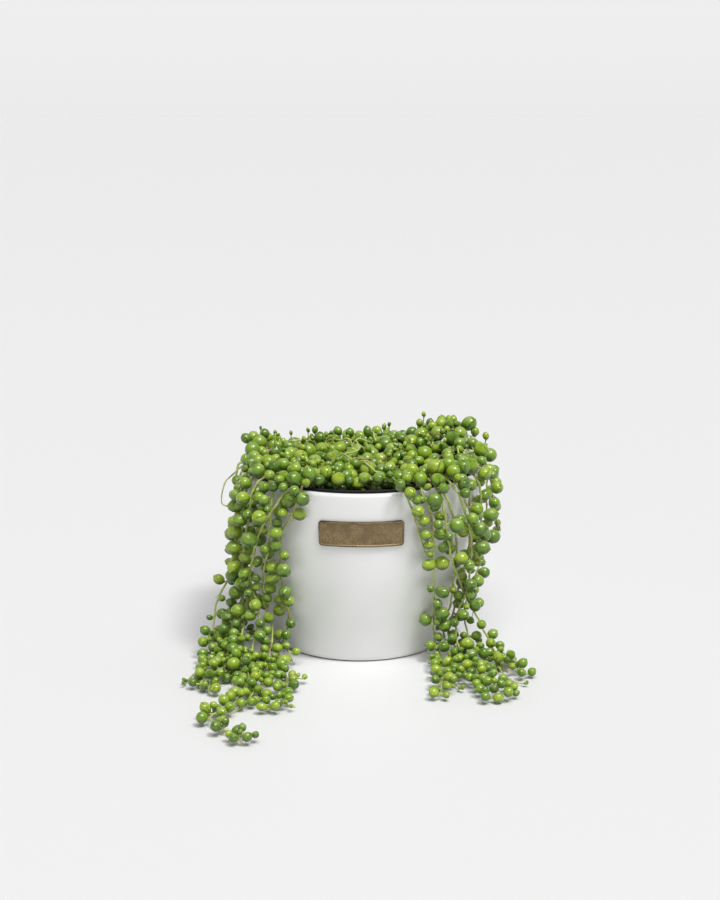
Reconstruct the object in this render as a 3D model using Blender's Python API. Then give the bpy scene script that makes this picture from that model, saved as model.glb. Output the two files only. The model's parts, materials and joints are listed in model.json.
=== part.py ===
"""String of pearls trailing out of a white glazed pot, in metres, +Z up.

The origin is the centre of the pot's flat underside. The front, with its brass
plate, faces -Y. Sizes below are in millimetres and become metres in to_mesh.
"""

import math
import random

import bpy
import numpy as np

MM = 0.001
GAP = 0.3
SEGMENTS = 36

# Cache pot
POT_HEIGHT = 98.0
POT_TOP_RADIUS = 66.5
POT_FOOT_RADIUS = 48.7
POT_SWEEP = 2.3
POT_WALL = 4.0
POT_FLOOR = 5.0
POT_FOOT_BEVEL = 1.2

# Plate on the front
PLATE_WIDTH = 45.4
PLATE_HEIGHT = 13.8
PLATE_THICKNESS = 1.2
PLATE_CORNER = 1.8
PLATE_MIDDLE = 76.6
PLATE_SHIFT = 0.7
PLATE_MARGIN = 5.0

# Nursery pot standing inside
LINER_TOP = 98.8
LINER_RIM_RADIUS = 61.0
LINER_RIM_DEPTH = 8.0
LINER_NECK_RADIUS = 58.8
LINER_FOOT_RADIUS = 41.5
LINER_WALL = 1.2
LINER_BOTTOM = POT_FLOOR + GAP
DRAIN_RADIUS = 4.0
DRAIN_CIRCLE = 26.0
DRAINS = 6

# Soil
SOIL_TOP = 86.0
SOIL_SEGMENTS = 24
HOLE_DEPTH = 9.0
HOLE_SIDES = 5

# Mat of the plant above the rim
MAT_TOP = 107.0
# Swells and dents of the mat's top: height, x and y of the middle, and spread
MAT_SWELLS = (
    (12.0, 50.0, 22.0, 18.0), (7.0, -58.0, 8.0, 12.0),
    (-6.0, -42.0, 50.0, 13.0), (-2.0, 5.0, 62.0, 18.0),
)
MAT_REACH = 64.0
MAT_RIGHT_PUSH = 4.0
MAT_FRONT_PULL = 8.0
MAT_CORE_RADIUS = 50.0
MAT_CORE_DROP = 5.5
MAT_PEARL_RADIUS = 4.3
MAT_PEARLS = 126
MAT_TRIES = 12
MAT_ROOTS = 6
MAT_ROOT_RADIUS = 1.3
MAT_ROOT_CIRCLE = 30.0
MAT_ROOT_TURN = 20.0
PEARL_SINK = 3.0
PEARL_ROOT_REACH = 44.0

# Trailing strings
STEM_RADIUS = 1.0
STEM_TIP_RADIUS = 0.7
STEM_SIDES = 3
STEM_ROOT_CIRCLE = 53.0
STEM_SPACING = 4.6
STEM_CREST_DROP = 6.0
STEM_CREST_LEAST = 2.2
ROUTE_STEP = 2.0
WALL_LIFT = 2.6
FLOOR_LIFT = 2.4
PEARL_STEP = 19.5
PEARL_RADIUS = 4.7
PEARL_TIP_RADIUS = 2.7
PEARL_STALK = 1.3
PEARL_FANS = (0.5, 0.5, 1.0, 1.0, 0.1, 0.1, 1.5, 1.5, 0.8, 0.8)
PEARL_SHRINK = 0.8
NECK_FROM = 2.6
NECK_SHARE = 0.22
STALK_STEP = 1.2
WALL_SLOPE = 0.92
# Above this height nothing stands out further than this, and more on the right, less on the left
CREST_HEIGHT = 94.0
CREST_REACH = 72.0
CREST_RIGHT = 5.0
# Above this height hanging pearls stay this near a plane a little right of the middle
HANG_HEIGHT = 45.0
HANG_MIDDLE = 3.0
HANG_REACH = 76.5

# Each string: hanging points as (azimuth in degrees, height, distance from the
# wall), then points of its free run and its run over the surface as (x, y, z).
STRINGS = {
    "string_left_01": (
        [(244, 97, 5), (241, 87, 6), (235, 74, 6), (233, 58, 6), (232, 40, 5), (232, 24, 5)],
        [(-43, -56, 9), (-45, -70, 5), (-38, -86, 4), (-40, -104, 4), (-45, -122, 3)],
    ),
    "string_left_02": (
        [(232, 97, 7), (231, 82, 9), (229, 65, 9), (225, 50, 10), (222, 35, 10)],
        [(-47, -52, 20), (-48, -64, 9), (-49, -82, 5), (-51, -98, 4), (-57, -112, 3)],
    ),
    "string_left_03": (
        [(238, 97, 9), (234, 88, 12), (229, 77, 13), (224, 62, 14), (220, 46, 14)],
        [(-54, -52, 30), (-57, -62, 15), (-60, -78, 7), (-60, -92, 5), (-53, -106, 3)],
    ),
    "string_left_04": (
        [(222, 97, 9), (220, 80, 11), (216, 64, 12), (213, 48, 13)],
        [(-61, -43, 32), (-63, -56, 17), (-61, -76, 8), (-57, -93, 5), (-60, -111, 4),
         (-67, -126, 4), (-73, -134, 4), (-68, -144, 3), (-61, -152, 3), (-56, -160, 2.5)],
    ),
    "string_left_05": (
        [(226, 97, 5), (223, 88, 6), (220, 72, 6), (214, 55, 6), (210, 45, 7)],
        [(-64, -38, 33), (-68, -42, 24), (-70, -48, 14), (-68, -60, 7), (-72, -76, 5), (-80, -90, 3)],
    ),
    "string_left_06": (
        [(211, 97, 6), (206, 86, 6), (200, 72, 6), (194, 57, 6), (189, 43, 8)],
        [(-75, -20, 34), (-79, -28, 27), (-80, -35, 18), (-81, -44, 9), (-80, -58, 4),
         (-80, -72, 4), (-79, -86, 3), (-77, -98, 2.5)],
    ),
    "string_left_07": (
        [(216, 97, 7), (212, 82, 8), (208, 66, 9), (204, 50, 9), (202, 35, 10)],
        [(-66, -32, 22), (-71, -42, 11), (-76, -54, 6), (-77, -67, 4), (-74, -81, 3)],
    ),
    "string_left_08": (
        [(207, 97, 4), (203, 80, 4), (198, 62, 5), (193, 46, 6), (190, 31, 8)],
        [(-66, -16, 19), (-73, -26, 9), (-77, -40, 5), (-74, -54, 5), (-66, -68, 4)],
    ),
    "string_left_09": (
        [(201, 97, 3.5), (197, 84, 3.5), (193, 70, 4), (190, 56, 4), (189, 43, 4)],
        [],
    ),
    "string_left_10": (
        [(192, 97, 3), (188, 82, 3), (185, 66, 3.5), (184, 50, 4), (184, 34, 4), (184, 20, 6)],
        [(-66, -6, 9), (-72, -14, 5), (-73, -26, 4), (-70, -37, 3)],
    ),
    "string_right_01": (
        [(290, 97, 4), (292, 91, 4.5), (294, 83, 5), (296, 75, 5), (299, 66, 5)],
        [],
    ),
    "string_right_02": (
        [(297, 97, 6), (300, 89, 6), (302, 75, 6), (304, 56, 6), (306, 42, 5), (309, 27, 5)],
        [(40, -46, 13), (43, -55, 6), (43, -70, 4), (42, -88, 4), (41, -103, 3)],
    ),
    "string_right_03": (
        [(307, 97, 6), (310, 89, 7), (313, 78, 7), (316, 63, 7), (317, 48, 8), (316, 33, 9)],
        [(45, -45, 19), (47, -54, 9), (51, -68, 5), (57, -83, 4), (63, -96, 4), (66, -107, 3)],
    ),
    "string_right_04": (
        [(315, 97, 8), (318, 88, 10), (322, 79, 11), (324, 67, 12), (325, 55, 12)],
        [],
    ),
    "string_right_05": (
        [(331, 97, 6), (335, 85, 6), (338, 71, 6), (342, 60, 7), (342, 50, 7), (335, 40, 8)],
        [(57, -38, 26), (59, -45, 13), (64, -53, 6), (71, -60, 5), (79, -62, 4), (84, -57, 3)],
    ),
    "string_right_06": (
        [(341, 97, 6), (348, 93, 7), (348, 86, 8), (348, 77, 9), (351, 69, 12), (353, 63, 14)],
        [],
    ),
    "string_right_07": (
        [(303, 97, 10), (305, 85, 11), (307, 72, 11), (310, 60, 11), (315, 49, 10)],
        [(55, -43, 38), (60, -44, 30), (65, -45, 21), (69, -46, 13), (73, -49, 6),
         (77, -58, 4), (81, -68, 4), (87, -75, 3)],
    ),
    "string_right_08": (
        [(322, 97, 6), (324, 84, 6), (326, 68, 6), (325, 52, 6), (322, 38, 7), (319, 24, 9)],
        [(48, -44, 13), (54, -50, 7), (62, -57, 5), (71, -65, 4), (79, -62, 3)],
    ),
    "string_right_09": (
        [(311, 97, 11), (315, 83, 13), (318, 69, 14), (319, 55, 14), (319, 40, 14)],
        [(52, -49, 26), (52, -54, 14), (57, -66, 6), (65, -79, 5), (72, -91, 4), (77, -104, 3)],
    ),
    "string_right_10": (
        [(357, 97, 4.5), (356, 87, 4.5), (354, 76, 5), (351, 65, 5)],
        [],
    ),
    "string_back_01": ([(28, 97, 5), (30, 82, 5), (32, 66, 5), (32, 50, 5), (31, 36, 5)], []),
    "string_back_02": (
        [(54, 97, 5), (52, 80, 5), (53, 62, 5), (55, 44, 5), (54, 26, 6)],
        [(35, 48, 11), (38, 56, 5), (36, 68, 4), (28, 78, 3)],
    ),
    "string_back_03": ([(78, 97, 5), (80, 84, 5), (79, 70, 5), (77, 57, 5)], []),
    "string_back_04": ([(102, 97, 5), (104, 80, 5), (101, 62, 5), (99, 45, 5), (101, 30, 5)], []),
    "string_back_05": (
        [(127, 97, 5), (125, 80, 5), (127, 62, 5), (129, 44, 5), (127, 26, 6)],
        [(-37, 47, 11), (-40, 57, 5), (-34, 67, 4), (-25, 72, 3)],
    ),
    "string_back_06": ([(150, 97, 4), (149, 83, 4), (148, 68, 4), (149, 53, 4)], []),
}


def wall_radius(z):
    """Outer radius of the pot at the heights z."""
    share = 1 - np.clip(z, 0, POT_HEIGHT) / POT_HEIGHT
    return POT_TOP_RADIUS - (POT_TOP_RADIUS - POT_FOOT_RADIUS) * share**POT_SWEEP


def mat_top(x, y):
    """Height of the tops of the pearls on the mat: higher on the right, and at the far left."""
    top = MAT_TOP
    for height, at_x, at_y, spread in MAT_SWELLS:
        top += height * math.exp(-((x - at_x) ** 2 + (y - at_y) ** 2) / (2 * spread**2))
    return top


def mat_reach(turn):
    """How far out the mat's pearls spread in the direction turn, in radians."""
    return MAT_REACH + MAT_RIGHT_PUSH * math.cos(turn) - MAT_FRONT_PULL * max(0.0, -math.sin(turn))


def polar(azimuth, radius, z):
    """A point from its azimuth in degrees, radius and height."""
    turn = math.radians(azimuth)
    return (radius * math.cos(turn), radius * math.sin(turn), z)


def smooth_curve(points, step):
    """Points about step apart on a centripetal Catmull-Rom curve through the given points."""
    p = np.array(points, float)
    p = np.vstack([2 * p[0] - p[1], p, 2 * p[-1] - p[-2]])
    knots = np.concatenate([[0], np.cumsum(np.sqrt(np.linalg.norm(np.diff(p, axis=0), axis=1)))])
    out = []
    for i in range(1, len(p) - 2):
        count = max(2, int(np.linalg.norm(p[i + 1] - p[i]) / step * 4))
        for t in np.linspace(knots[i], knots[i + 1], count, endpoint=False):
            a = [blend(p[i - 1 + k], p[i + k], knots[i - 1 + k], knots[i + k], t) for k in range(3)]
            b = [blend(a[k], a[k + 1], knots[i - 1 + k], knots[i + 1 + k], t) for k in range(2)]
            out.append(blend(b[0], b[1], knots[i], knots[i + 1], t))
    out.append(p[-2])
    return evenly(np.array(out), step)


def blend(a, b, start, end, t):
    """The point between a and b that t is between start and end."""
    return a + (b - a) * (t - start) / (end - start)


def evenly(path, step):
    """The same path with points an equal distance, about step, apart."""
    along = np.concatenate([[0], np.cumsum(np.linalg.norm(np.diff(path, axis=0), axis=1))])
    count = max(2, int(round(along[-1] / step)) + 1)
    at = np.linspace(0, along[-1], count)
    return np.stack([np.interp(at, along, path[:, k]) for k in range(3)], axis=1)


def string_route(hang, trail):
    """A string's line: up out of the soil, over the rim, down the wall and over the surface."""
    azimuth, _, over = hang[0]
    x, y, _ = polar(azimuth, LINER_RIM_RADIUS, 0)
    crest = max(mat_top(x, y) - STEM_CREST_DROP, LINER_TOP + STEM_CREST_LEAST) + over / 5
    points = [
        polar(azimuth, STEM_ROOT_CIRCLE, SOIL_TOP - HOLE_DEPTH),
        polar(azimuth, STEM_ROOT_CIRCLE, SOIL_TOP + 2),
        polar(azimuth, STEM_ROOT_CIRCLE + 2, LINER_TOP - 2),
        polar(azimuth, LINER_RIM_RADIUS - 2, crest),
        polar(azimuth, POT_TOP_RADIUS + over / 4, crest - 0.6),
    ]
    for turn, height, off in hang:
        points.append(polar(turn, float(wall_radius(height)) + off, height))
    return smooth_curve(points + trail, ROUTE_STEP)


def spread_apart(routes, rounds=50):
    """Push stems that lie too near each other apart, off the wall and off the surface.

    Each push is spread along its string, so the strings keep their run.
    """
    owner = np.concatenate([np.full(len(r), i) for i, r in enumerate(routes)])
    start = np.vstack(routes)
    shift = np.zeros_like(start)
    radius = np.hypot(start[:, 0], start[:, 1])
    free = np.clip((radius - LINER_RIM_RADIUS) / 6, 0, 1)[:, None]
    for _ in range(rounds):
        p = start + shift
        apart = p[:, None, :] - p[None, :, :]
        distance = np.sqrt((apart**2).sum(-1)) + 1e-6
        near = (distance < STEM_SPACING) & (owner[:, None] != owner[None, :])
        push = np.where(near, 0.25 * (STEM_SPACING - distance) / distance, 0)
        count = np.maximum(near.sum(1), 1)[:, None]
        shift += (push[:, :, None] * apart).sum(1) / count * free
        for i in range(len(routes)):
            own = np.nonzero(owner == i)[0]
            middle = shift[own[1:-1]]
            shift[own[1:-1]] = middle + 0.3 * (shift[own[:-2]] + shift[own[2:]] - 2 * middle)
        p = keep_off(start + shift)
        shift = (p - start) * free
    p = start + shift
    return [p[owner == i] for i in range(len(routes))]


def keep_off(p):
    """Move stem points out of the wall and the plate, over the rims and up off the surface."""
    p = p.copy()
    radius = np.hypot(p[:, 0], p[:, 1])
    least = wall_radius(p[:, 2]) + WALL_LIFT
    inside = (radius < least) & (radius > LINER_RIM_RADIUS) & (p[:, 2] < POT_HEIGHT - 1)
    p[inside, :2] *= (least / radius)[inside, None]
    over = (radius > LINER_RIM_RADIUS - 5) & (radius < POT_TOP_RADIUS + 1) & (p[:, 2] > POT_HEIGHT - 1)
    p[over, 2] = np.maximum(p[over, 2], LINER_TOP + 1.6)
    outside = radius > LINER_RIM_RADIUS
    p[outside, 2] = np.maximum(p[outside, 2], FLOOR_LIFT)
    return p


def simplified(path, tolerance=0.45):
    """Indices of the fewest points that keep the path within the tolerance."""
    keep = [0, len(path) - 1]
    stack = [(0, len(path) - 1)]
    while stack:
        a, b = stack.pop()
        if b - a < 2:
            continue
        line = path[b] - path[a]
        middle = path[a + 1 : b] - path[a]
        t = np.clip(middle @ line / (line @ line), 0, 1)
        off = np.linalg.norm(middle - t[:, None] * line, axis=1)
        worst = a + 1 + int(np.argmax(off))
        if off.max() > tolerance:
            keep.append(worst)
            stack += [(a, worst), (worst, b)]
    return sorted(keep)


def nearest_on(path, point):
    """The point of a polyline that is nearest to a point."""
    a, b = path[:-1], path[1:]
    line = b - a
    t = np.clip(((point - a) * line).sum(1) / (line**2).sum(1), 0, 1)
    near = a + t[:, None] * line
    return near[np.argmin(np.linalg.norm(near - point, axis=1))]


class Room:
    """What already takes up room: pearls and their stalks as balls, stems as rows of points."""

    def __init__(self, stems):
        self.points = np.vstack(stems)
        self.radii = np.full(len(self.points), STEM_RADIUS + GAP)
        self.owner = np.concatenate([np.full(len(s), i) for i, s in enumerate(stems)])
        self.whole = np.zeros(len(self.points), bool)

    def clear(self, centre, radius, root, owner):
        """Whether a pearl and its stalk are clear of the pot, the surface and all other pieces.

        Pearls of one piece keep apart too, but its stalks and stems may fuse.
        """
        if not clear_of_pot(centre, radius):
            return False
        other = self.owner != owner
        check = other | self.whole
        distance = np.linalg.norm(self.points[check] - centre, axis=1)
        if (distance < self.radii[check] + radius + GAP).any():
            return False
        for point, thick in stalk_balls(centre, radius, root):
            distance = np.linalg.norm(self.points[other] - point, axis=1)
            if (distance < self.radii[other] + thick + GAP).any():
                return False
        return True

    def add(self, centre, radius, root, owner):
        """Take up the room of a pearl and its stalk."""
        balls = [(centre, radius)] + stalk_balls(centre, radius, root)
        self.points = np.vstack([self.points] + [point for point, _ in balls])
        self.radii = np.concatenate([self.radii, [thick + GAP for _, thick in balls]])
        self.owner = np.concatenate([self.owner, np.full(len(balls), owner)])
        self.whole = np.concatenate([self.whole, np.arange(len(balls)) == 0])


def neck(radius, length):
    """The pearl's rings between root and middle, as distances from the root and radii."""
    rings = [(length - 0.447 * radius, 0.894 * radius)]
    if length > NECK_FROM * radius:
        rings.insert(0, (length - 1.05 * radius, NECK_SHARE * radius))
    return rings


def stalk_balls(centre, radius, root):
    """The stalk of a pearl as balls, from its root to the pearl's first full ring."""
    length = float(np.linalg.norm(centre - root))
    rings = [(0.0, 0.0)] + neck(radius, length)
    places, thicks = zip(*rings)
    out = []
    for d in np.arange(STALK_STEP, places[-1], STALK_STEP):
        out.append((root + (centre - root) * d / length, float(np.interp(d, places, thicks))))
    return out


def clear_of_pot(centre, radius):
    """Whether a ball is clear of the surface, the pot's wall, its lip, the plate and the liner's rim."""
    x, y, z = centre
    reach = math.hypot(x, y)
    if z < radius + GAP:
        return False
    if z > CREST_HEIGHT and reach + radius > CREST_REACH + CREST_RIGHT * x / CREST_REACH:
        return False
    if z > HANG_HEIGHT and abs(x - HANG_MIDDLE) + radius > HANG_REACH:
        return False
    if reach > LINER_RIM_RADIUS + 1 and z < POT_HEIGHT + 1:
        beside = abs(x) - PLATE_WIDTH / 2
        above = abs(z - PLATE_MIDDLE) - PLATE_HEIGHT / 2
        on_plate = y < 0 and max(beside, above) < PLATE_MARGIN
        proud = PLATE_THICKNESS + GAP if on_plate else 0
        if (reach - float(wall_radius(z)) - proud) * WALL_SLOPE < radius + GAP:
            return False
    if reach > LINER_NECK_RADIUS - 2 * PEARL_RADIUS:
        half = POT_WALL / 2
        lip = math.hypot(reach - POT_TOP_RADIUS + half, z - POT_HEIGHT + half) - half
        half = LINER_WALL / 2
        rim = math.hypot(reach - LINER_RIM_RADIUS + half, z - LINER_TOP + half) - half
        if min(lip, rim) < radius + 2 * GAP:
            return False
        if reach < LINER_RIM_RADIUS and z < LINER_TOP and reach > LINER_NECK_RADIUS - 2 - radius:
            return False
    return True


def frame_along(path, index):
    """Direction of a path at a point, a direction beside it, and one up or away from the pot."""
    ahead = path[min(index + 1, len(path) - 1)] - path[max(index - 1, 0)]
    ahead = ahead / np.linalg.norm(ahead)
    side = np.cross(ahead, (0.0, 0.0, 1.0))
    outward = np.array([path[index][0], path[index][1], 0.0])
    if np.linalg.norm(side) < 0.2:
        side = np.cross(ahead, outward)
    side = side / np.linalg.norm(side)
    up = np.cross(side, ahead)
    if up @ (outward / POT_TOP_RADIUS + np.array([0.0, 0.0, 1.0])) < 0:
        return ahead, -side, -up
    return ahead, side, up


def pearl_radius(share, rng):
    """Radius of a pearl by its place along the string, from the rim (0) to the tip (1)."""
    base = PEARL_RADIUS + (PEARL_TIP_RADIUS - PEARL_RADIUS) * share**1.1
    return base * rng.uniform(0.86, 1.1)


def string_pearls(path, index, room):
    """Pearls along one string, to the left and right of the stem in turn, as (centre, radius, root).

    A pearl that finds no room is fanned out from the wall, or made smaller.
    """
    rng = random.Random(100 + index)
    first = next(i for i, p in enumerate(path) if p[2] > LINER_TOP)
    length = (len(path) - first) * ROUTE_STEP
    count = max(4, round(length / PEARL_STEP))
    pearls = []
    for k in range(count + 1):
        share = k / count
        at = min(len(path) - 1, first + int(round(share * (len(path) - 1 - first))))
        radius = pearl_radius(share, rng)
        wander = rng.uniform(-0.3, 0.3)
        ahead, side, up = frame_along(path, at)
        for attempt, fan in enumerate(PEARL_FANS):
            hand = 1 if (k + attempt) % 2 else -1
            away = side * hand * math.cos(fan + wander) + up * math.sin(fan + wander) + ahead * 0.25
            away /= np.linalg.norm(away)
            centre = path[at] + away * (radius + PEARL_STALK)
            if clear_of_core(centre, radius) and room.clear(centre, radius, path[at], index):
                room.add(centre, radius, path[at], index)
                pearls.append((centre, radius, path[at]))
                break
            if attempt % 4 == 3:
                radius *= PEARL_SHRINK
    return pearls


def mat_pearls(room, owner):
    """Pearls that stand out of the mat's core, spread like the seeds of a sunflower head."""
    rng = random.Random(7)
    golden = math.pi * (3 - math.sqrt(5))
    pearls = []
    for i in range(MAT_PEARLS):
        turn = i * golden
        reach = mat_reach(turn) * math.sqrt((i + 0.5) / MAT_PEARLS)
        radius = MAT_PEARL_RADIUS * rng.uniform(0.82, 1.15)
        for attempt in range(MAT_TRIES):
            nudge = 0.4 + attempt / 3
            x = reach * math.cos(turn) + rng.uniform(-nudge, nudge)
            y = reach * math.sin(turn) + rng.uniform(-nudge, nudge)
            z = mat_top(x, y) - radius + rng.uniform(-1.6, 0.6) + 0.4 * attempt
            centre = np.array([x, y, z])
            pull = min(1.0, PEARL_ROOT_REACH / math.hypot(x, y))
            root = np.array([x * pull, y * pull, core_top(x * pull, y * pull) - PEARL_SINK])
            if room.clear(centre, radius, root, owner):
                room.add(centre, radius, root, owner)
                pearls.append((centre, radius, root))
                break
            if attempt == MAT_TRIES // 2:
                radius *= PEARL_SHRINK
    return pearls


def core_top(x, y):
    """Top of the mat's core under the pearls."""
    return mat_top(x, y) - MAT_CORE_DROP


def clear_of_core(centre, radius):
    """Whether a string's pearl is clear of the mat's core."""
    x, y, z = centre
    beside = math.hypot(x, y) - MAT_CORE_RADIUS
    return max(beside, (z - core_top(x, y)) * 0.9) > radius + GAP


def mat_root(k):
    """Place of one of the mat's roots."""
    return polar(360 * k / MAT_ROOTS + MAT_ROOT_TURN, MAT_ROOT_CIRCLE, 0)[:2]


def to_mesh(name, vertices, faces):
    """A mesh in metres from vertices in millimetres."""
    mesh = bpy.data.meshes.new(name)
    mesh.from_pydata([tuple(c * MM for c in v) for v in vertices], [], faces)
    mesh.update()
    return mesh


def add_object(name, mesh, material):
    """A named object with one material."""
    thing = bpy.data.objects.new(name, mesh)
    bpy.context.scene.collection.objects.link(thing)
    mesh.materials.append(material)
    return thing


def material(name, colour, roughness, metallic=0.0):
    """A Principled material of one colour."""
    made = bpy.data.materials.new(name)
    made.use_nodes = True
    shader = made.node_tree.nodes["Principled BSDF"]
    shader.inputs["Base Color"].default_value = (*colour, 1.0)
    shader.inputs["Roughness"].default_value = roughness
    shader.inputs["Metallic"].default_value = metallic
    made.diffuse_color = (*colour, 1.0)
    return made


def shade_round(mesh, degrees=40):
    """Smooth shading that keeps the sharp edges."""
    mesh.shade_smooth()
    mesh.set_sharp_from_angle(angle=math.radians(degrees))


def turned(name, profile, made_of, segments=SEGMENTS):
    """A solid turned about Z from a profile that runs in over the axis, up, and down its outer side."""
    rings, vertices, faces = [], [], []
    for radius, z in profile:
        if radius < 1e-6:
            rings.append([len(vertices)])
            vertices.append((0.0, 0.0, z))
            continue
        rings.append(list(range(len(vertices), len(vertices) + segments)))
        for s in range(segments):
            vertices.append(polar(360 * s / segments, radius, z))
    for low, high in zip(rings[:-1], rings[1:]):
        for s in range(segments):
            t = (s + 1) % segments
            if len(low) == 1:
                faces.append((low[0], high[s], high[t]))
            elif len(high) == 1:
                faces.append((low[s], high[0], low[t]))
            else:
                faces.append((low[s], high[s], high[t], low[t]))
    mesh = to_mesh(name, vertices, faces)
    shade_round(mesh)
    return add_object(name, mesh, made_of)


def applied(thing):
    """Replace an object's mesh by what its modifiers make of it."""
    graph = bpy.context.evaluated_depsgraph_get()
    mesh = bpy.data.meshes.new_from_object(thing.evaluated_get(graph))
    thing.modifiers.clear()
    thing.data = mesh
    return thing


def join_all(thing, parts):
    """Fuse the parts into the object by one Boolean union, and remove them."""
    group = bpy.data.collections.new(thing.name + "_parts")
    bpy.context.scene.collection.children.link(group)
    for i, mesh in enumerate(parts):
        group.objects.link(bpy.data.objects.new(f"{thing.name}_{i}", mesh))
    union = thing.modifiers.new("join", "BOOLEAN")
    union.operation = "UNION"
    union.solver = "EXACT"
    union.operand_type = "COLLECTION"
    union.collection = group
    applied(thing)
    for part in list(group.objects):
        bpy.data.objects.remove(part)
    bpy.data.collections.remove(group)
    return thing


def cut_all(thing, cutters):
    """Cut the cutter meshes out of the object by one Boolean, and remove them."""
    group = bpy.data.collections.new(thing.name + "_cutters")
    bpy.context.scene.collection.children.link(group)
    for i, mesh in enumerate(cutters):
        group.objects.link(bpy.data.objects.new(f"{thing.name}_cutter_{i}", mesh))
    cut = thing.modifiers.new("cut", "BOOLEAN")
    cut.operation = "DIFFERENCE"
    cut.solver = "EXACT"
    cut.operand_type = "COLLECTION"
    cut.collection = group
    applied(thing)
    for part in list(group.objects):
        bpy.data.objects.remove(part)
    bpy.data.collections.remove(group)
    return thing


def round_rod(name, x, y, low, high, radius, sides):
    """An upright rod."""
    vertices, faces = [], []
    for z in (low, high):
        for s in range(sides):
            turn = 2 * math.pi * s / sides
            vertices.append((x + radius * math.cos(turn), y + radius * math.sin(turn), z))
    faces.append(tuple(reversed(range(sides))))
    faces.append(tuple(range(sides, 2 * sides)))
    for s in range(sides):
        t = (s + 1) % sides
        faces.append((s, t, sides + t, sides + s))
    return to_mesh(name, vertices, faces)


def stem_mesh(name, path):
    """A three-sided stem along a path, thinner towards its tip."""
    vertices, faces = [], []
    side = None
    for i, p in enumerate(path):
        ahead, fresh, _ = frame_along(path, i)
        side = fresh if side is None else side - ahead * (side @ ahead)
        side = side / np.linalg.norm(side)
        up = np.cross(side, ahead)
        share = i / (len(path) - 1)
        radius = STEM_RADIUS + (STEM_TIP_RADIUS - STEM_RADIUS) * share
        for s in range(STEM_SIDES):
            turn = 2 * math.pi * s / STEM_SIDES
            vertices.append(tuple(p + (side * math.cos(turn) + up * math.sin(turn)) * radius))
    last = STEM_SIDES * (len(path) - 1)
    faces.append(tuple(range(STEM_SIDES)))
    faces.append(tuple(last + s for s in reversed(range(STEM_SIDES))))
    for i in range(len(path) - 1):
        here, ahead = STEM_SIDES * i, STEM_SIDES * (i + 1)
        for s in range(STEM_SIDES):
            t = (s + 1) % STEM_SIDES
            faces.append((here + s, ahead + s, ahead + t, here + t))
    return to_mesh(name, vertices, faces)


def pearl_mesh(name, centre, radius, root):
    """A pearl whose near end runs out to its root, and whose far end is a small point.

    A pearl far from its root narrows to a neck first.
    """
    length = np.linalg.norm(centre - root)
    axis = (centre - root) / length
    side = np.cross(axis, (0.31, 0.84, 0.44))
    side = side / np.linalg.norm(side)
    up = np.cross(axis, side)
    rings = neck(radius, length) + [(length + 0.447 * radius, 0.894 * radius)]
    vertices = [tuple(root)]
    for level, (along, out) in enumerate(rings):
        for k in range(5):
            turn = math.pi / 5 * (level + 2 * k)
            spoke = side * math.cos(turn) + up * math.sin(turn)
            vertices.append(tuple(root + axis * along + spoke * out))
    vertices.append(tuple(root + axis * (length + radius * 1.08)))
    tip = len(vertices) - 1
    faces = []
    for k in range(5):
        n = (k + 1) % 5
        faces.append((0, 1 + n, 1 + k))
        faces.append((tip - 5 + k, tip - 5 + n, tip))
        for a in range(1, tip - 5, 5):
            faces.append((a + k, a + n, a + 5 + k))
            faces.append((a + n, a + 5 + n, a + 5 + k))
    return to_mesh(name, vertices, faces)


def build_pot(made_of):
    """The glazed pot: floor, swept wall, round lip and a bevelled foot."""
    inner = [(0.0, POT_FLOOR), (float(wall_radius(POT_FLOOR)) - POT_WALL - 2, POT_FLOOR)]
    heights = (10, 26, 48, 74)
    inner += [(float(wall_radius(z)) - POT_WALL, z) for z in heights]
    inner.append((POT_TOP_RADIUS - POT_WALL, POT_HEIGHT - 2))
    lip = [
        (POT_TOP_RADIUS - POT_WALL + 0.7, POT_HEIGHT - 0.5),
        (POT_TOP_RADIUS - POT_WALL / 2, POT_HEIGHT),
        (POT_TOP_RADIUS - 0.7, POT_HEIGHT - 0.5),
    ]
    outer = [(POT_TOP_RADIUS, POT_HEIGHT - 2)]
    outer += [(float(wall_radius(z)), z) for z in reversed((10, 21, 35, 52, 74))]
    foot = [
        (float(wall_radius(POT_FOOT_BEVEL)), POT_FOOT_BEVEL),
        (POT_FOOT_RADIUS - POT_FOOT_BEVEL, 0.0),
        (0.0, 0.0),
    ]
    return turned("ceramic_pot", inner + lip + outer + foot, made_of)


def liner_radius(z):
    """Outer radius of the liner's tapered body."""
    top = LINER_TOP - LINER_RIM_DEPTH
    share = (z - LINER_BOTTOM) / (top - LINER_BOTTOM)
    return LINER_FOOT_RADIUS + (LINER_NECK_RADIUS - LINER_FOOT_RADIUS) * share


def build_liner(made_of):
    """The thin nursery pot, with a turned rim and holes in its floor."""
    neck = LINER_TOP - LINER_RIM_DEPTH
    floor = LINER_BOTTOM + LINER_WALL
    profile = [
        (0.0, floor),
        (liner_radius(floor) - LINER_WALL, floor),
        (liner_radius(neck) - LINER_WALL, neck),
        (LINER_RIM_RADIUS - LINER_WALL - 1.4, neck + 2 * LINER_WALL),
        (LINER_RIM_RADIUS - LINER_WALL, LINER_TOP - 0.4),
        (LINER_RIM_RADIUS - LINER_WALL / 2, LINER_TOP),
        (LINER_RIM_RADIUS, LINER_TOP - 0.4),
        (LINER_RIM_RADIUS, neck),
        (liner_radius(neck), neck),
        (LINER_FOOT_RADIUS, LINER_BOTTOM),
        (0.0, LINER_BOTTOM),
    ]
    liner = turned("nursery_pot", profile, made_of)
    drains = []
    for k in range(DRAINS):
        x, y, _ = polar(360 * k / DRAINS, DRAIN_CIRCLE, 0)
        drains.append(round_rod("drain", x, y, LINER_BOTTOM - 2, floor + 2, DRAIN_RADIUS, 10))
    return cut_all(liner, drains)


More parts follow.
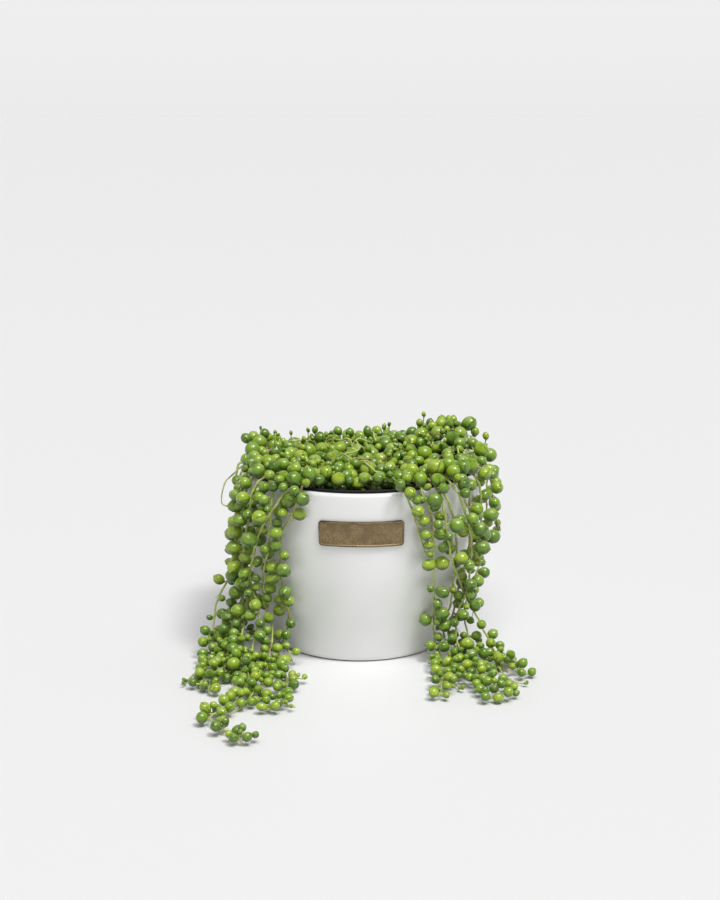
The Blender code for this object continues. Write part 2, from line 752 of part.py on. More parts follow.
def build_soil(made_of, stems):
    """Soil that fills the liner, with a hole for each stem."""
    floor = LINER_BOTTOM + LINER_WALL + GAP
    profile = [(0.0, SOIL_TOP)]
    for z in (SOIL_TOP, floor):
        flat_of_liner = (liner_radius(z) - LINER_WALL) * math.cos(math.pi / SEGMENTS)
        profile.append((flat_of_liner - GAP, z))
    profile.append((0.0, floor))
    soil = turned("soil", profile, made_of, SOIL_SEGMENTS)
    holes = []
    for x, y, radius in stems:
        low = SOIL_TOP - HOLE_DEPTH - GAP
        holes.append(round_rod("hole", x, y, low, SOIL_TOP + 3, radius + 2 * GAP, HOLE_SIDES))
    return cut_all(soil, holes)


def build_plate(made_of):
    """The curved plate with round corners, its back on the wall's curve."""
    half, tall = PLATE_WIDTH / 2, PLATE_HEIGHT / 2
    inner = half - PLATE_CORNER
    places = [half - PLATE_CORNER * (1 - math.sin(math.radians(a))) for a in (90, 60, 30)]
    across = [-p for p in places] + list(np.linspace(-inner, inner, 11)) + places[::-1]
    low, high = PLATE_MIDDLE - tall, PLATE_MIDDLE + tall
    vertices, faces = [], []
    for x in across:
        corner = max(abs(x) - inner, 0)
        drop = PLATE_CORNER - math.sqrt(max(PLATE_CORNER**2 - corner**2, 0))
        for proud in (GAP + 0.1, GAP + 0.1 + PLATE_THICKNESS):
            for z in (low + drop, high - drop):
                radius = float(wall_radius(z)) + proud
                turn = (x + PLATE_SHIFT) / POT_TOP_RADIUS - math.pi / 2
                vertices.append((radius * math.cos(turn), radius * math.sin(turn), z))
    for i in range(len(across) - 1):
        a, b = 4 * i, 4 * i + 4
        faces += [(a + 2, b + 2, b + 3, a + 3), (a, a + 1, b + 1, b)]
        faces += [(a, b, b + 2, a + 2), (a + 1, a + 3, b + 3, b + 1)]
    end = 4 * (len(across) - 1)
    faces += [(0, 2, 3, 1), (end, end + 1, end + 3, end + 2)]
    return add_object("brass_plate", to_mesh("brass_plate", vertices, faces), made_of)


def build_mat(made_of, pearls):
    """The mat: a low core with its roots in the soil and pearls standing out of it."""
    count = 15
    under = SOIL_TOP + GAP
    rings = [0.0, 20.0, 37.0, MAT_CORE_RADIUS - 2]
    vertices = [(0.0, 0.0, core_top(0, 0))]
    for reach in rings[1:]:
        for s in range(count):
            x, y, _ = polar(360 * s / count, reach, 0)
            vertices.append((x, y, core_top(x, y)))
    for s in range(count):
        vertices.append(polar(360 * s / count, MAT_CORE_RADIUS, under))
    vertices.append((0.0, 0.0, under))
    faces = []
    levels = len(rings)
    for s in range(count):
        t = (s + 1) % count
        faces.append((0, 1 + s, 1 + t))
        for level in range(levels - 1):
            a, b = 1 + level * count, 1 + (level + 1) * count
            faces.append((a + s, b + s, b + t, a + t))
        last = 1 + (levels - 1) * count
        faces.append((len(vertices) - 1, last + t, last + s))
    mat = add_object("pearl_mat", to_mesh("pearl_mat", vertices, faces), made_of)
    parts = [pearl_mesh("pearl", *pearl) for pearl in pearls]
    for k in range(MAT_ROOTS):
        x, y = mat_root(k)
        parts.append(round_rod("root", x, y, SOIL_TOP - HOLE_DEPTH, under + 4, MAT_ROOT_RADIUS, 5))
    return join_all(mat, parts)


def build_string(name, path, pearls, made_of):
    """One string: its stem with its pearls fused on."""
    line = path[simplified(path)]
    stem = add_object(name, stem_mesh(name, line), made_of)
    parts = [pearl_mesh("pearl", c, r, nearest_on(line, root)) for c, r, root in pearls]
    return join_all(stem, parts)


def main():
    for old in list(bpy.data.objects):
        bpy.data.objects.remove(old)
    glaze = material("white_glaze", (0.83, 0.83, 0.82), 0.28)
    brass = material("aged_brass", (0.36, 0.25, 0.12), 0.45, 1.0)
    plastic = material("black_plastic", (0.012, 0.012, 0.013), 0.5)
    earth = material("soil", (0.035, 0.022, 0.014), 0.95)
    leaf = material("pearl_green", (0.14, 0.3, 0.03), 0.32)

    routes = spread_apart([string_route(*row) for row in STRINGS.values()])
    room = Room(routes)
    pearls = [string_pearls(path, i, room) for i, path in enumerate(routes)]
    mat = mat_pearls(room, len(routes))

    build_pot(glaze)
    build_plate(brass)
    build_liner(plastic)
    feet = [(*path[0][:2], STEM_RADIUS) for path in routes]
    feet += [(*mat_root(k), MAT_ROOT_RADIUS) for k in range(MAT_ROOTS)]
    build_soil(earth, feet)
    build_mat(leaf, mat)
    for (name, _), path, own in zip(STRINGS.items(), routes, pearls):
        build_string(name, path, own, leaf)


main()
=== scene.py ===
"""Looks of the potted string of pearls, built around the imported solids.

Lengths are in millimetres until to_object makes them metres. The frame is the
part's own: the origin is the centre of the pot's underside and -Y is the front.
"""

import json
import math
import random

import bpy
import numpy as np
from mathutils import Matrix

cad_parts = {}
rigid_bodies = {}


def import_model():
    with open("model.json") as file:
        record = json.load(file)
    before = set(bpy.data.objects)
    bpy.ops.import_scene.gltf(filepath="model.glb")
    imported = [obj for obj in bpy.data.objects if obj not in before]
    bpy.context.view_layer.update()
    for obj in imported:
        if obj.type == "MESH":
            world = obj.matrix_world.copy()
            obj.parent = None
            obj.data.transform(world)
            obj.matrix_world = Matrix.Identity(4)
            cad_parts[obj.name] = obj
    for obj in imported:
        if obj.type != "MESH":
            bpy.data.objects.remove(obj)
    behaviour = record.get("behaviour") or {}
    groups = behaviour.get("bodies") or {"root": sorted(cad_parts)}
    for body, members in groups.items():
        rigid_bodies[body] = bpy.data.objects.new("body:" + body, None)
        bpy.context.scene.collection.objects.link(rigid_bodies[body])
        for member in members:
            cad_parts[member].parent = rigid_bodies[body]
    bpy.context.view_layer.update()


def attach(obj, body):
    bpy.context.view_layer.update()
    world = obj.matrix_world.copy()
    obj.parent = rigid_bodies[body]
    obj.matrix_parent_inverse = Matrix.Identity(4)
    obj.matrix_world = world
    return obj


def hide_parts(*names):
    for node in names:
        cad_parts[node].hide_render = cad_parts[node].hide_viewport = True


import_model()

MM = 0.001
GAP = 0.3

# Camera
CAMERA_PLACE = (0.0, -0.816, 0.292)
CAMERA_DOWN = 12.8
LENS = 60.0
SENSOR_HEIGHT = 36.0

# Light: pale surroundings by height, then each lamp's power, width, height and azimuth in degrees
SKY = ((0.0, 0.833), (0.065, 0.862), (0.2, 0.26), (1.0, 0.28))
LAMPS = {
    "soft_box": (1.9, 40.0, 64.0, -76.0),
    "key": (1.15, 13.0, 60.0, -48.0),
}

# The pale surface: half its width, and its colour
FLOOR_HALF = 60000
FLOOR_COLOUR = (0.8, 0.8, 0.802)

# Cache pot
POT_HEIGHT = 98.0
POT_TOP_RADIUS = 66.5
POT_FOOT_RADIUS = 48.7
POT_SWEEP = 2.3
POT_WALL = 4.0
POT_FLOOR = 5.0
POT_FOOT_BEVEL = 1.2
POT_SEGMENTS = 160

# Plate on the front
PLATE_WIDTH = 45.4
PLATE_HEIGHT = 13.8
PLATE_THICKNESS = 1.2
PLATE_CORNER = 1.8
PLATE_MIDDLE = 76.6
PLATE_SHIFT = 0.7
PLATE_MARGIN = 5.0
PLATE_COLUMNS = 132
PLATE_ROWS = 46
PLATE_LIFT = GAP + 0.1
# Widths of the plate's rounded edge, dark outline, border and the border's slope, then depths of the field
PLATE_EDGE = 0.35
PLATE_OUTLINE = 0.45
PLATE_BORDER = 0.95
PLATE_SLOPE = 0.3
PLATE_FIELD = 0.42
PLATE_HAMMER = 0.035

# Nursery pot standing inside
LINER_TOP = 98.8
LINER_RIM_RADIUS = 61.0
LINER_RIM_DEPTH = 8.0
LINER_NECK_RADIUS = 58.8
LINER_FOOT_RADIUS = 41.5
LINER_WALL = 1.2
LINER_BOTTOM = POT_FLOOR + GAP
LINER_SEGMENTS = 120
DRAIN_RADIUS = 4.0
DRAIN_CIRCLE = 26.0
DRAINS = 6
DRAIN_SIDES = 20

# Soil
SOIL_TOP = 86.0
SOIL_SEGMENTS = 72
SOIL_RINGS = 25
SOIL_LUMP = 0.7
SOIL_GRAINS = 420
GRAIN_SIZES = (0.6, 1.9)
HOLE_DEPTH = 9.0

# Mat of the plant above the rim
MAT_TOP = 107.0
# Swells and dents of the mat's top: height, x and y of the middle, and spread
MAT_SWELLS = (
    (12.0, 50.0, 22.0, 18.0), (7.0, -58.0, 8.0, 12.0),
    (-6.0, -42.0, 50.0, 13.0), (-2.0, 5.0, 62.0, 18.0),
)
MAT_REACH = 64.0
MAT_RIGHT_PUSH = 4.0
MAT_FRONT_PULL = 8.0
MAT_CORE_RADIUS = 50.0
MAT_CORE_DROP = 5.5
MAT_PEARL_RADIUS = 4.3
MAT_PEARLS = 126
MAT_TRIES = 12
PEARL_SINK = 3.0
PEARL_ROOT_REACH = 44.0
MAT_ROOTS = 6
MAT_ROOT_CIRCLE = 30.0
MAT_ROOT_TURN = 20.0
ROOT_THICK = (1.1, 0.9)
# Creeping stems: how many, how far out they start and end, how deep they lie, their points and thickness
CREEPERS = 44
CREEP_REACH = 46.0
CREEP_LIMIT = 55.0
CREEP_DEPTH = (4.5, 9.0)
CREEP_POINTS = (9, 19)
CREEP_STEP = 5.0
CREEPER_THICK = (0.75, 0.5)
CREEPER_ROOT_CHANCE = 0.6
# Loose stems over the pearls
LOOSE_STEMS = 12
LOOSE_REACH = 54.0
LOOSE_POINTS = (4, 6)
LOOSE_STEP = 4.2
LOOSE_DIP = 4.5
LOOSE_THICK = (0.62, 0.42)
# Dry scraps and young tips
DRY_BITS = 46
DRY_REACH = 56.0
SPROUTS = 30
SPROUT_REACH = (20.0, 60.0)
SPROUT_HEIGHT = (3.5, 7.0)
# Finer pearls: tries, radii of the first half and of the rest, depth, overlap and length of the stalk
MAT_FILL = 6500
FILL_LARGE = (3.0, 4.4)
FILL_SMALL = (1.7, 3.0)
FILL_SHALLOW = 4.0
FILL_DEEP = 8.0
MAT_SLACK = 0.35
MAT_STALK = 7.0
# How far over the skyline a solid pearl may stand, how far it sinks at most, and how much it then shrinks
SINK_FREE = 0.6
SINK_MOST = 2.6
SINK_SHRINK = 0.03
# In front of this the leaves come down to the rim
FRONT_ROW = -36.0
# Behind this no pearl of a string stands over the mat's top
SKYLINE_BEHIND = 12.0
# Above this height the strings' pearls reach no further than this to the left
SHOULDER_HEIGHT = 78.0
SHOULDER_LEFT = 70.5
# Leaves whose tops lie this far under the mat's top get painted shade, a dark tint; the share of the tints
# kept for them
DEEP = 3.0
PAINTED_SHADE_SHARE = 0.12
# Smaller swells and dents that the scene alone has, in the same order of values
FILL_SWELLS = ((2.5, 46.0, 34.0, 12.0), (-1.5, -12.0, 48.0, 16.0), (2.0, -56.0, 22.0, 9.0))

# Trailing strings
STEM_RADIUS = 1.0
STEM_ROOT_CIRCLE = 53.0
STEM_SPACING = 4.6
STEM_CREST_DROP = 6.0
STEM_CREST_LEAST = 2.2
ROUTE_STEP = 2.0
WALL_LIFT = 2.6
FLOOR_LIFT = 2.4
PEARL_STEP = 19.5
PEARL_RADIUS = 4.7
PEARL_TIP_RADIUS = 2.7
PEARL_STALK = 1.3
PEARL_FANS = (0.5, 0.5, 1.0, 1.0, 0.1, 0.1, 1.5, 1.5, 0.8, 0.8)
PEARL_SHRINK = 0.8
NECK_FROM = 2.6
NECK_SHARE = 0.22
STALK_STEP = 1.2
WALL_SLOPE = 0.92
# Above this height nothing stands out further than this, and more on the right, less on the left
CREST_HEIGHT = 94.0
CREST_REACH = 72.0
CREST_RIGHT = 5.0
# Above this height hanging pearls stay this near a plane a little right of the middle
HANG_HEIGHT = 45.0
HANG_MIDDLE = 3.0
HANG_REACH = 76.5
ROUND_SHARE = 0.93
MAT_ROUND_SHARE = 0.92
# Spacing of the pearls on the left and on the right, near the rim and on the hanging part
RIM_SPACING = (3.2, 6.0)
HANG_SPACING = (6.8, 8.8)
CREST_FRONT = 12.0
# The part of the lip, from and to in x and then in height, where most stems are bare
BARE_LIP = (42.0, 64.0, 80.0, 97.0)
BARE_LIP_SHARE = 0.75
RIM_HEIGHT = 86.0
FLOOR_SPACING = 3.7
FLOOR_HEIGHT = 14.0
SHOOT_REACH = 88.0
# Thickness of a stem at its start and its end, and the room that it takes among the pearls
STRING_THICK = (0.72, 0.42)
CROWD_STEM = 0.7
# A stem's rings, its knots and how much they swell, and how far it wanders
STEM_STEP = 1.3
KNOT_STEP = 6.5
KNOT_SWELL = 0.28
STEM_WANDER = 0.16
# Finer pearls of a string: radius at the rim and the tip, tries, overlap, shrinking at every fourth try
STRING_FILL = (4.5, 2.5)
FILL_TRIES = 16
FILL_SLACK = 0.3
FILL_SHRINK = 0.86
FILL_LEAN = (-0.1, 0.6)
FILL_STALK = (0.8, 2.0)
SPACING_SPREAD = (0.65, 1.3)
# How often the next pearl changes sides, and how far the pearls fan up, more at the rim
HAND_CHANGE = 0.85
RIM_FAN = 0.55
FAN_SPREAD = 0.8
# Side shoots: places along the string, chance, length, thickness and the pearls' radius
SHOOT_EVERY = 8
SHOOT_CHANCE = 0.6
SHOOT_LENGTH = (7.0, 14.0)
SHOOT_THICK = (0.45, 0.3)
SHOOT_FILL = (1.5, 2.8)
AIR_ROOT_EVERY = 5
AIR_ROOT_CHANCE = 0.35
# Below this height the front of the wall stays bare as far out as this on the right
BARE_HEIGHT = 66.0
BARE_RIGHT = 35.0
# Strings that carry fewer and smaller pearls below a height: (height, size, spacing)
SPARSE = {"string_left_06": (56.0, 0.62, 11.0), "string_right_05": (48.0, 0.8, 8.5)}

# Pearls that stand out at the rim, as seen in the photograph: x, y, z and radius
RIM_PEARLS = (
    (-58, -37, 98, 2.7), (-56, -42, 96, 4.3), (-47, -51, 97, 3.7), (-42, -55, 98, 3.7),
    (-37, -60, 93, 4.5), (-28, -64, 94, 4.3), (-64, -31, 87, 3.4), (-63, -33, 82, 3.0),
    (-41, -56, 86, 3.8), (-31, -62, 86, 3.6), (-58, -39, 79, 3.9), (-38, -42, 101, 2.9),
    (-33, -45, 101, 2.1), (-27, -49, 102, 3.0), (-21, -53, 102, 3.4), (-11, -55, 103, 4.0),
    (-5, -55, 102, 2.6), (2, -55, 103, 3.7), (9, -55, 103, 3.1), (19, -66, 102, 3.5),
    (31, -61, 105, 3.9), (40, -55, 102, 3.4), (40, -56, 97, 3.7), (38, -58, 90, 3.9),
    (31, -61, 94, 2.9), (27, -63, 88, 2.9), (-64, 6, 112, 3.0), (-60, 10, 112, 3.4),
    (-54, 14, 113, 2.9), (-61, -2, 107, 3.1),
)
# How much further out than other pearls they may reach at the front
RIM_FREE = 60.0
# Tries to place one, the way out and the shrinking at each, overlap and length of the stalk
RIM_TRIES = 18
RIM_STEP = 0.35
RIM_SHRINK = 0.012
RIM_SLACK = 0.8
RIM_STALK = 12.0

# Thin shoots with no pearls but a leaf or two at the tip, as points, with the string they belong to
RUNNERS = (
    ("string_left_10", [(-58, -20, 101.2), (-63.5, -22, 102.7), (-66, -22, 101.2), (-69.2, -22.5, 98),
                        (-73, -23, 94.6), (-74.7, -23, 90), (-75.6, -23, 85.6), (-75.3, -22, 81.2),
                        (-73.2, -21.5, 80), (-70.6, -20.8, 78.2)]),
    ("string_left_06", [(-81, -48, 4), (-84, -60, 1.6), (-88, -71, 1.2), (-90, -79, 1.4), (-90.5, -86, 2.6)]),
    ("string_left_05", [(-72, -72, 5), (-76, -80, 1.4), (-83, -81, 1.2), (-89, -80, 1.6), (-92, -83, 2)]),
    ("string_left_04", [(-55, -104, 3), (-60, -118, 1.6), (-68, -123, 1.2), (-73, -122, 1.4),
                        (-77, -127, 2)]),
    ("string_left_01", [(-38, -84, 4), (-38.5, -96, 2), (-41, -108, 1.3), (-45, -118, 2.2)]),
    ("string_right_05", [(72, -60, 5), (76, -73, 1.8), (80, -81, 1.3), (84, -84, 1.4), (87, -86, 2)]),
    ("string_right_02", [(42.5, -62, 6), (42, -73, 2), (43, -84, 1.4), (41, -95, 2)]),
    ("string_right_03", [(49, -64, 6), (48, -76, 2), (49.5, -86, 1.4), (52, -93, 2)]),
)
# Single tips that stand above the mat: x, y, z and radius of the leaf
SPRIGS = (
    (37, 37, 119.5, 1.4), (40.5, 35, 115, 2.4), (34.5, 34, 115, 2.2), (47.5, 37, 115.8, 3.1),
    (54, 36, 116.4, 2.6), (60.5, 32, 113.6, 2.8), (66, 26, 111.5, 2.6), (14, 38, 112, 1.5),
    (17, 38, 113.4, 1.2), (70.5, 5, 113.6, 2.0), (-26, 32, 111.4, 2.0), (-30, 32, 111.2, 1.2),
    (-49, 31, 110, 1.2), (-40, 34, 109.2, 1.1), (-57, 26, 113.8, 0.9), (4.5, 45, 107.4, 2.9),
    (-13, 45, 107.8, 2.7), (-6, 45, 107, 2.7), (-23, 32, 106.6, 3.4),
)

# Each string: hanging points as (azimuth in degrees, height, distance from the
# wall), then points of its free run and its run over the surface as (x, y, z).
STRINGS = {
    "string_left_01": (
        [(244, 97, 5), (241, 87, 6), (235, 74, 6), (233, 58, 6), (232, 40, 5), (232, 24, 5)],
        [(-43, -56, 9), (-45, -70, 5), (-38, -86, 4), (-40, -104, 4), (-45, -122, 3)],
    ),
    "string_left_02": (
        [(232, 97, 7), (231, 82, 9), (229, 65, 9), (225, 50, 10), (222, 35, 10)],
        [(-47, -52, 20), (-48, -64, 9), (-49, -82, 5), (-51, -98, 4), (-57, -112, 3)],
    ),
    "string_left_03": (
        [(238, 97, 9), (234, 88, 12), (229, 77, 13), (224, 62, 14), (220, 46, 14)],
        [(-54, -52, 30), (-57, -62, 15), (-60, -78, 7), (-60, -92, 5), (-53, -106, 3)],
    ),
    "string_left_04": (
        [(222, 97, 9), (220, 80, 11), (216, 64, 12), (213, 48, 13)],
        [(-61, -43, 32), (-63, -56, 17), (-61, -76, 8), (-57, -93, 5), (-60, -111, 4),
         (-67, -126, 4), (-73, -134, 4), (-68, -144, 3), (-61, -152, 3), (-56, -160, 2.5)],
    ),
    "string_left_05": (
        [(226, 97, 5), (223, 88, 6), (220, 72, 6), (214, 55, 6), (210, 45, 7)],
        [(-64, -38, 33), (-68, -42, 24), (-70, -48, 14), (-68, -60, 7), (-72, -76, 5), (-80, -90, 3)],
    ),
    "string_left_06": (
        [(211, 97, 6), (206, 86, 6), (200, 72, 6), (194, 57, 6), (189, 43, 8)],
        [(-75, -20, 34), (-79, -28, 27), (-80, -35, 18), (-81, -44, 9), (-80, -58, 4),
         (-80, -72, 4), (-79, -86, 3), (-77, -98, 2.5)],
    ),
    "string_left_07": (
        [(216, 97, 7), (212, 82, 8), (208, 66, 9), (204, 50, 9), (202, 35, 10)],
        [(-66, -32, 22), (-71, -42, 11), (-76, -54, 6), (-77, -67, 4), (-74, -81, 3)],
    ),
    "string_left_08": (
        [(207, 97, 4), (203, 80, 4), (198, 62, 5), (193, 46, 6), (190, 31, 8)],
        [(-66, -16, 19), (-73, -26, 9), (-77, -40, 5), (-74, -54, 5), (-66, -68, 4)],
    ),
    "string_left_09": (
        [(201, 97, 3.5), (197, 84, 3.5), (193, 70, 4), (190, 56, 4), (189, 43, 4)],
        [],
    ),
    "string_left_10": (
        [(192, 97, 3), (188, 82, 3), (185, 66, 3.5), (184, 50, 4), (184, 34, 4), (184, 20, 6)],
        [(-66, -6, 9), (-72, -14, 5), (-73, -26, 4), (-70, -37, 3)],
    ),
    "string_right_01": (
        [(290, 97, 4), (292, 91, 4.5), (294, 83, 5), (296, 75, 5), (299, 66, 5)],
        [],
    ),
    "string_right_02": (
        [(297, 97, 6), (300, 89, 6), (302, 75, 6), (304, 56, 6), (306, 42, 5), (309, 27, 5)],
        [(40, -46, 13), (43, -55, 6), (43, -70, 4), (42, -88, 4), (41, -103, 3)],
    ),
    "string_right_03": (
        [(307, 97, 6), (310, 89, 7), (313, 78, 7), (316, 63, 7), (317, 48, 8), (316, 33, 9)],
        [(45, -45, 19), (47, -54, 9), (51, -68, 5), (57, -83, 4), (63, -96, 4), (66, -107, 3)],
    ),
    "string_right_04": (
        [(315, 97, 8), (318, 88, 10), (322, 79, 11), (324, 67, 12), (325, 55, 12)],
        [],
    ),
    "string_right_05": (
        [(331, 97, 6), (335, 85, 6), (338, 71, 6), (342, 60, 7), (342, 50, 7), (335, 40, 8)],
        [(57, -38, 26), (59, -45, 13), (64, -53, 6), (71, -60, 5), (79, -62, 4), (84, -57, 3)],
    ),
    "string_right_06": (
        [(341, 97, 6), (348, 93, 7), (348, 86, 8), (348, 77, 9), (351, 69, 12), (353, 63, 14)],
        [],
    ),
    "string_right_07": (
        [(303, 97, 10), (305, 85, 11), (307, 72, 11), (310, 60, 11), (315, 49, 10)],
        [(55, -43, 38), (60, -44, 30), (65, -45, 21), (69, -46, 13), (73, -49, 6),
         (77, -58, 4), (81, -68, 4), (87, -75, 3)],
    ),
    "string_right_08": (
        [(322, 97, 6), (324, 84, 6), (326, 68, 6), (325, 52, 6), (322, 38, 7), (319, 24, 9)],
        [(48, -44, 13), (54, -50, 7), (62, -57, 5), (71, -65, 4), (79, -62, 3)],
    ),
    "string_right_09": (
        [(311, 97, 11), (315, 83, 13), (318, 69, 14), (319, 55, 14), (319, 40, 14)],
        [(52, -49, 26), (52, -54, 14), (57, -66, 6), (65, -79, 5), (72, -91, 4), (77, -104, 3)],
    ),
    "string_right_10": (
        [(357, 97, 4.5), (356, 87, 4.5), (354, 76, 5), (351, 65, 5)],
        [],
    ),
    "string_back_01": ([(28, 97, 5), (30, 82, 5), (32, 66, 5), (32, 50, 5), (31, 36, 5)], []),
    "string_back_02": (
        [(54, 97, 5), (52, 80, 5), (53, 62, 5), (55, 44, 5), (54, 26, 6)],
        [(35, 48, 11), (38, 56, 5), (36, 68, 4), (28, 78, 3)],
    ),
    "string_back_03": ([(78, 97, 5), (80, 84, 5), (79, 70, 5), (77, 57, 5)], []),
    "string_back_04": ([(102, 97, 5), (104, 80, 5), (101, 62, 5), (99, 45, 5), (101, 30, 5)], []),
    "string_back_05": (
        [(127, 97, 5), (125, 80, 5), (127, 62, 5), (129, 44, 5), (127, 26, 6)],
        [(-37, 47, 11), (-40, 57, 5), (-34, 67, 4), (-25, 72, 3)],
    ),
    "string_back_06": ([(150, 97, 4), (149, 83, 4), (148, 68, 4), (149, 53, 4)], []),
}


# Routes and places, as in the part's own source

def wall_radius(z):
    """Outer radius of the pot at the heights z."""
    share = 1 - np.clip(z, 0, POT_HEIGHT) / POT_HEIGHT
    return POT_TOP_RADIUS - (POT_TOP_RADIUS - POT_FOOT_RADIUS) * share**POT_SWEEP


def swells(start, table, x, y):
    """A start value with the swells and dents of a table added, at x and y."""
    for height, at_x, at_y, spread in table:
        start += height * math.exp(-((x - at_x) ** 2 + (y - at_y) ** 2) / (2 * spread**2))
    return start


def mat_top(x, y):
    """Height of the tops of the solid pearls on the mat: higher on the right, and at the far left."""
    return swells(MAT_TOP, MAT_SWELLS, x, y)


def core_top(x, y):
    """Top of the mat's core under the pearls."""
    return mat_top(x, y) - MAT_CORE_DROP


def mat_reach(turn):
    """How far out the mat's pearls spread in the direction turn, in radians."""
    return MAT_REACH + MAT_RIGHT_PUSH * math.cos(turn) - MAT_FRONT_PULL * max(0.0, -math.sin(turn))


def polar(azimuth, radius, z):
    """A point from its azimuth in degrees, radius and height."""
    turn = math.radians(azimuth)
    return (radius * math.cos(turn), radius * math.sin(turn), z)


def blend(a, b, start, end, t):
    """The point between a and b that t is between start and end."""
    return a + (b - a) * (t - start) / (end - start)


def evenly(path, step):
    """The same path with points an equal distance, about step, apart."""
    along = np.concatenate([[0], np.cumsum(np.linalg.norm(np.diff(path, axis=0), axis=1))])
    count = max(2, int(round(along[-1] / step)) + 1)
    at = np.linspace(0, along[-1], count)
    return np.stack([np.interp(at, along, path[:, k]) for k in range(3)], axis=1)


def smooth_curve(points, step):
    """Points about step apart on a centripetal Catmull-Rom curve through the given points."""
    p = np.array(points, float)
    p = np.vstack([2 * p[0] - p[1], p, 2 * p[-1] - p[-2]])
    knots = np.concatenate([[0], np.cumsum(np.sqrt(np.linalg.norm(np.diff(p, axis=0), axis=1)))])
    out = []
    for i in range(1, len(p) - 2):
        count = max(2, int(np.linalg.norm(p[i + 1] - p[i]) / step * 4))
        for t in np.linspace(knots[i], knots[i + 1], count, endpoint=False):
            a = [blend(p[i - 1 + k], p[i + k], knots[i - 1 + k], knots[i + k], t) for k in range(3)]
            b = [blend(a[k], a[k + 1], knots[i - 1 + k], knots[i + 1 + k], t) for k in range(2)]
            out.append(blend(b[0], b[1], knots[i], knots[i + 1], t))
    out.append(p[-2])
    return evenly(np.array(out), step)


def string_route(hang, trail):
    """A string's line: up out of the soil, over the rim, down the wall and over the surface."""
    azimuth, _, over = hang[0]
    x, y, _ = polar(azimuth, LINER_RIM_RADIUS, 0)
    crest = max(mat_top(x, y) - STEM_CREST_DROP, LINER_TOP + STEM_CREST_LEAST) + over / 5
    points = [
        polar(azimuth, STEM_ROOT_CIRCLE, SOIL_TOP - HOLE_DEPTH),
        polar(azimuth, STEM_ROOT_CIRCLE, SOIL_TOP + 2),
        polar(azimuth, STEM_ROOT_CIRCLE + 2, LINER_TOP - 2),
        polar(azimuth, LINER_RIM_RADIUS - 2, crest),
        polar(azimuth, POT_TOP_RADIUS + over / 4, crest - 0.6),
    ]
    for turn, height, off in hang:
        points.append(polar(turn, float(wall_radius(height)) + off, height))
    return smooth_curve(points + trail, ROUTE_STEP)


def spread_apart(routes, rounds=50):
    """Push stems that lie too near each other apart, off the wall and off the surface."""
    owner = np.concatenate([np.full(len(r), i) for i, r in enumerate(routes)])
    start = np.vstack(routes)
    shift = np.zeros_like(start)
    radius = np.hypot(start[:, 0], start[:, 1])
    free = np.clip((radius - LINER_RIM_RADIUS) / 6, 0, 1)[:, None]
    for _ in range(rounds):
        p = start + shift
        apart = p[:, None, :] - p[None, :, :]
        distance = np.sqrt((apart**2).sum(-1)) + 1e-6
        near = (distance < STEM_SPACING) & (owner[:, None] != owner[None, :])
        push = np.where(near, 0.25 * (STEM_SPACING - distance) / distance, 0)
        count = np.maximum(near.sum(1), 1)[:, None]
        shift += (push[:, :, None] * apart).sum(1) / count * free
        for i in range(len(routes)):
            own = np.nonzero(owner == i)[0]
            middle = shift[own[1:-1]]
            shift[own[1:-1]] = middle + 0.3 * (shift[own[:-2]] + shift[own[2:]] - 2 * middle)
        p = keep_off(start + shift)
        shift = (p - start) * free
    p = start + shift
    return [p[owner == i] for i in range(len(routes))]


def keep_off(p):
    """Move stem points out of the wall and the plate, over the rims and up off the surface."""
    p = p.copy()
    radius = np.hypot(p[:, 0], p[:, 1])
    least = wall_radius(p[:, 2]) + WALL_LIFT
    inside = (radius < least) & (radius > LINER_RIM_RADIUS) & (p[:, 2] < POT_HEIGHT - 1)
    p[inside, :2] *= (least / radius)[inside, None]
    over = (radius > LINER_RIM_RADIUS - 5) & (radius < POT_TOP_RADIUS + 1) & (p[:, 2] > POT_HEIGHT - 1)
    p[over, 2] = np.maximum(p[over, 2], LINER_TOP + 1.6)
    outside = radius > LINER_RIM_RADIUS
    p[outside, 2] = np.maximum(p[outside, 2], FLOOR_LIFT)
    return p


def neck(radius, length):
    """The solid pearl's rings between root and middle, as distances from the root and radii."""
    rings = [(length - 0.447 * radius, 0.894 * radius)]
    if length > NECK_FROM * radius:
        rings.insert(0, (length - 1.05 * radius, NECK_SHARE * radius))
    return rings


def stalk_balls(centre, radius, root):
    """The stalk of a solid pearl as balls, from its root to the pearl's first full ring."""
    length = float(np.linalg.norm(centre - root))
    rings = [(0.0, 0.0)] + neck(radius, length)
    places, thicks = zip(*rings)
    out = []
    for d in np.arange(STALK_STEP, places[-1], STALK_STEP):
        out.append((root + (centre - root) * d / length, float(np.interp(d, places, thicks))))
    return out


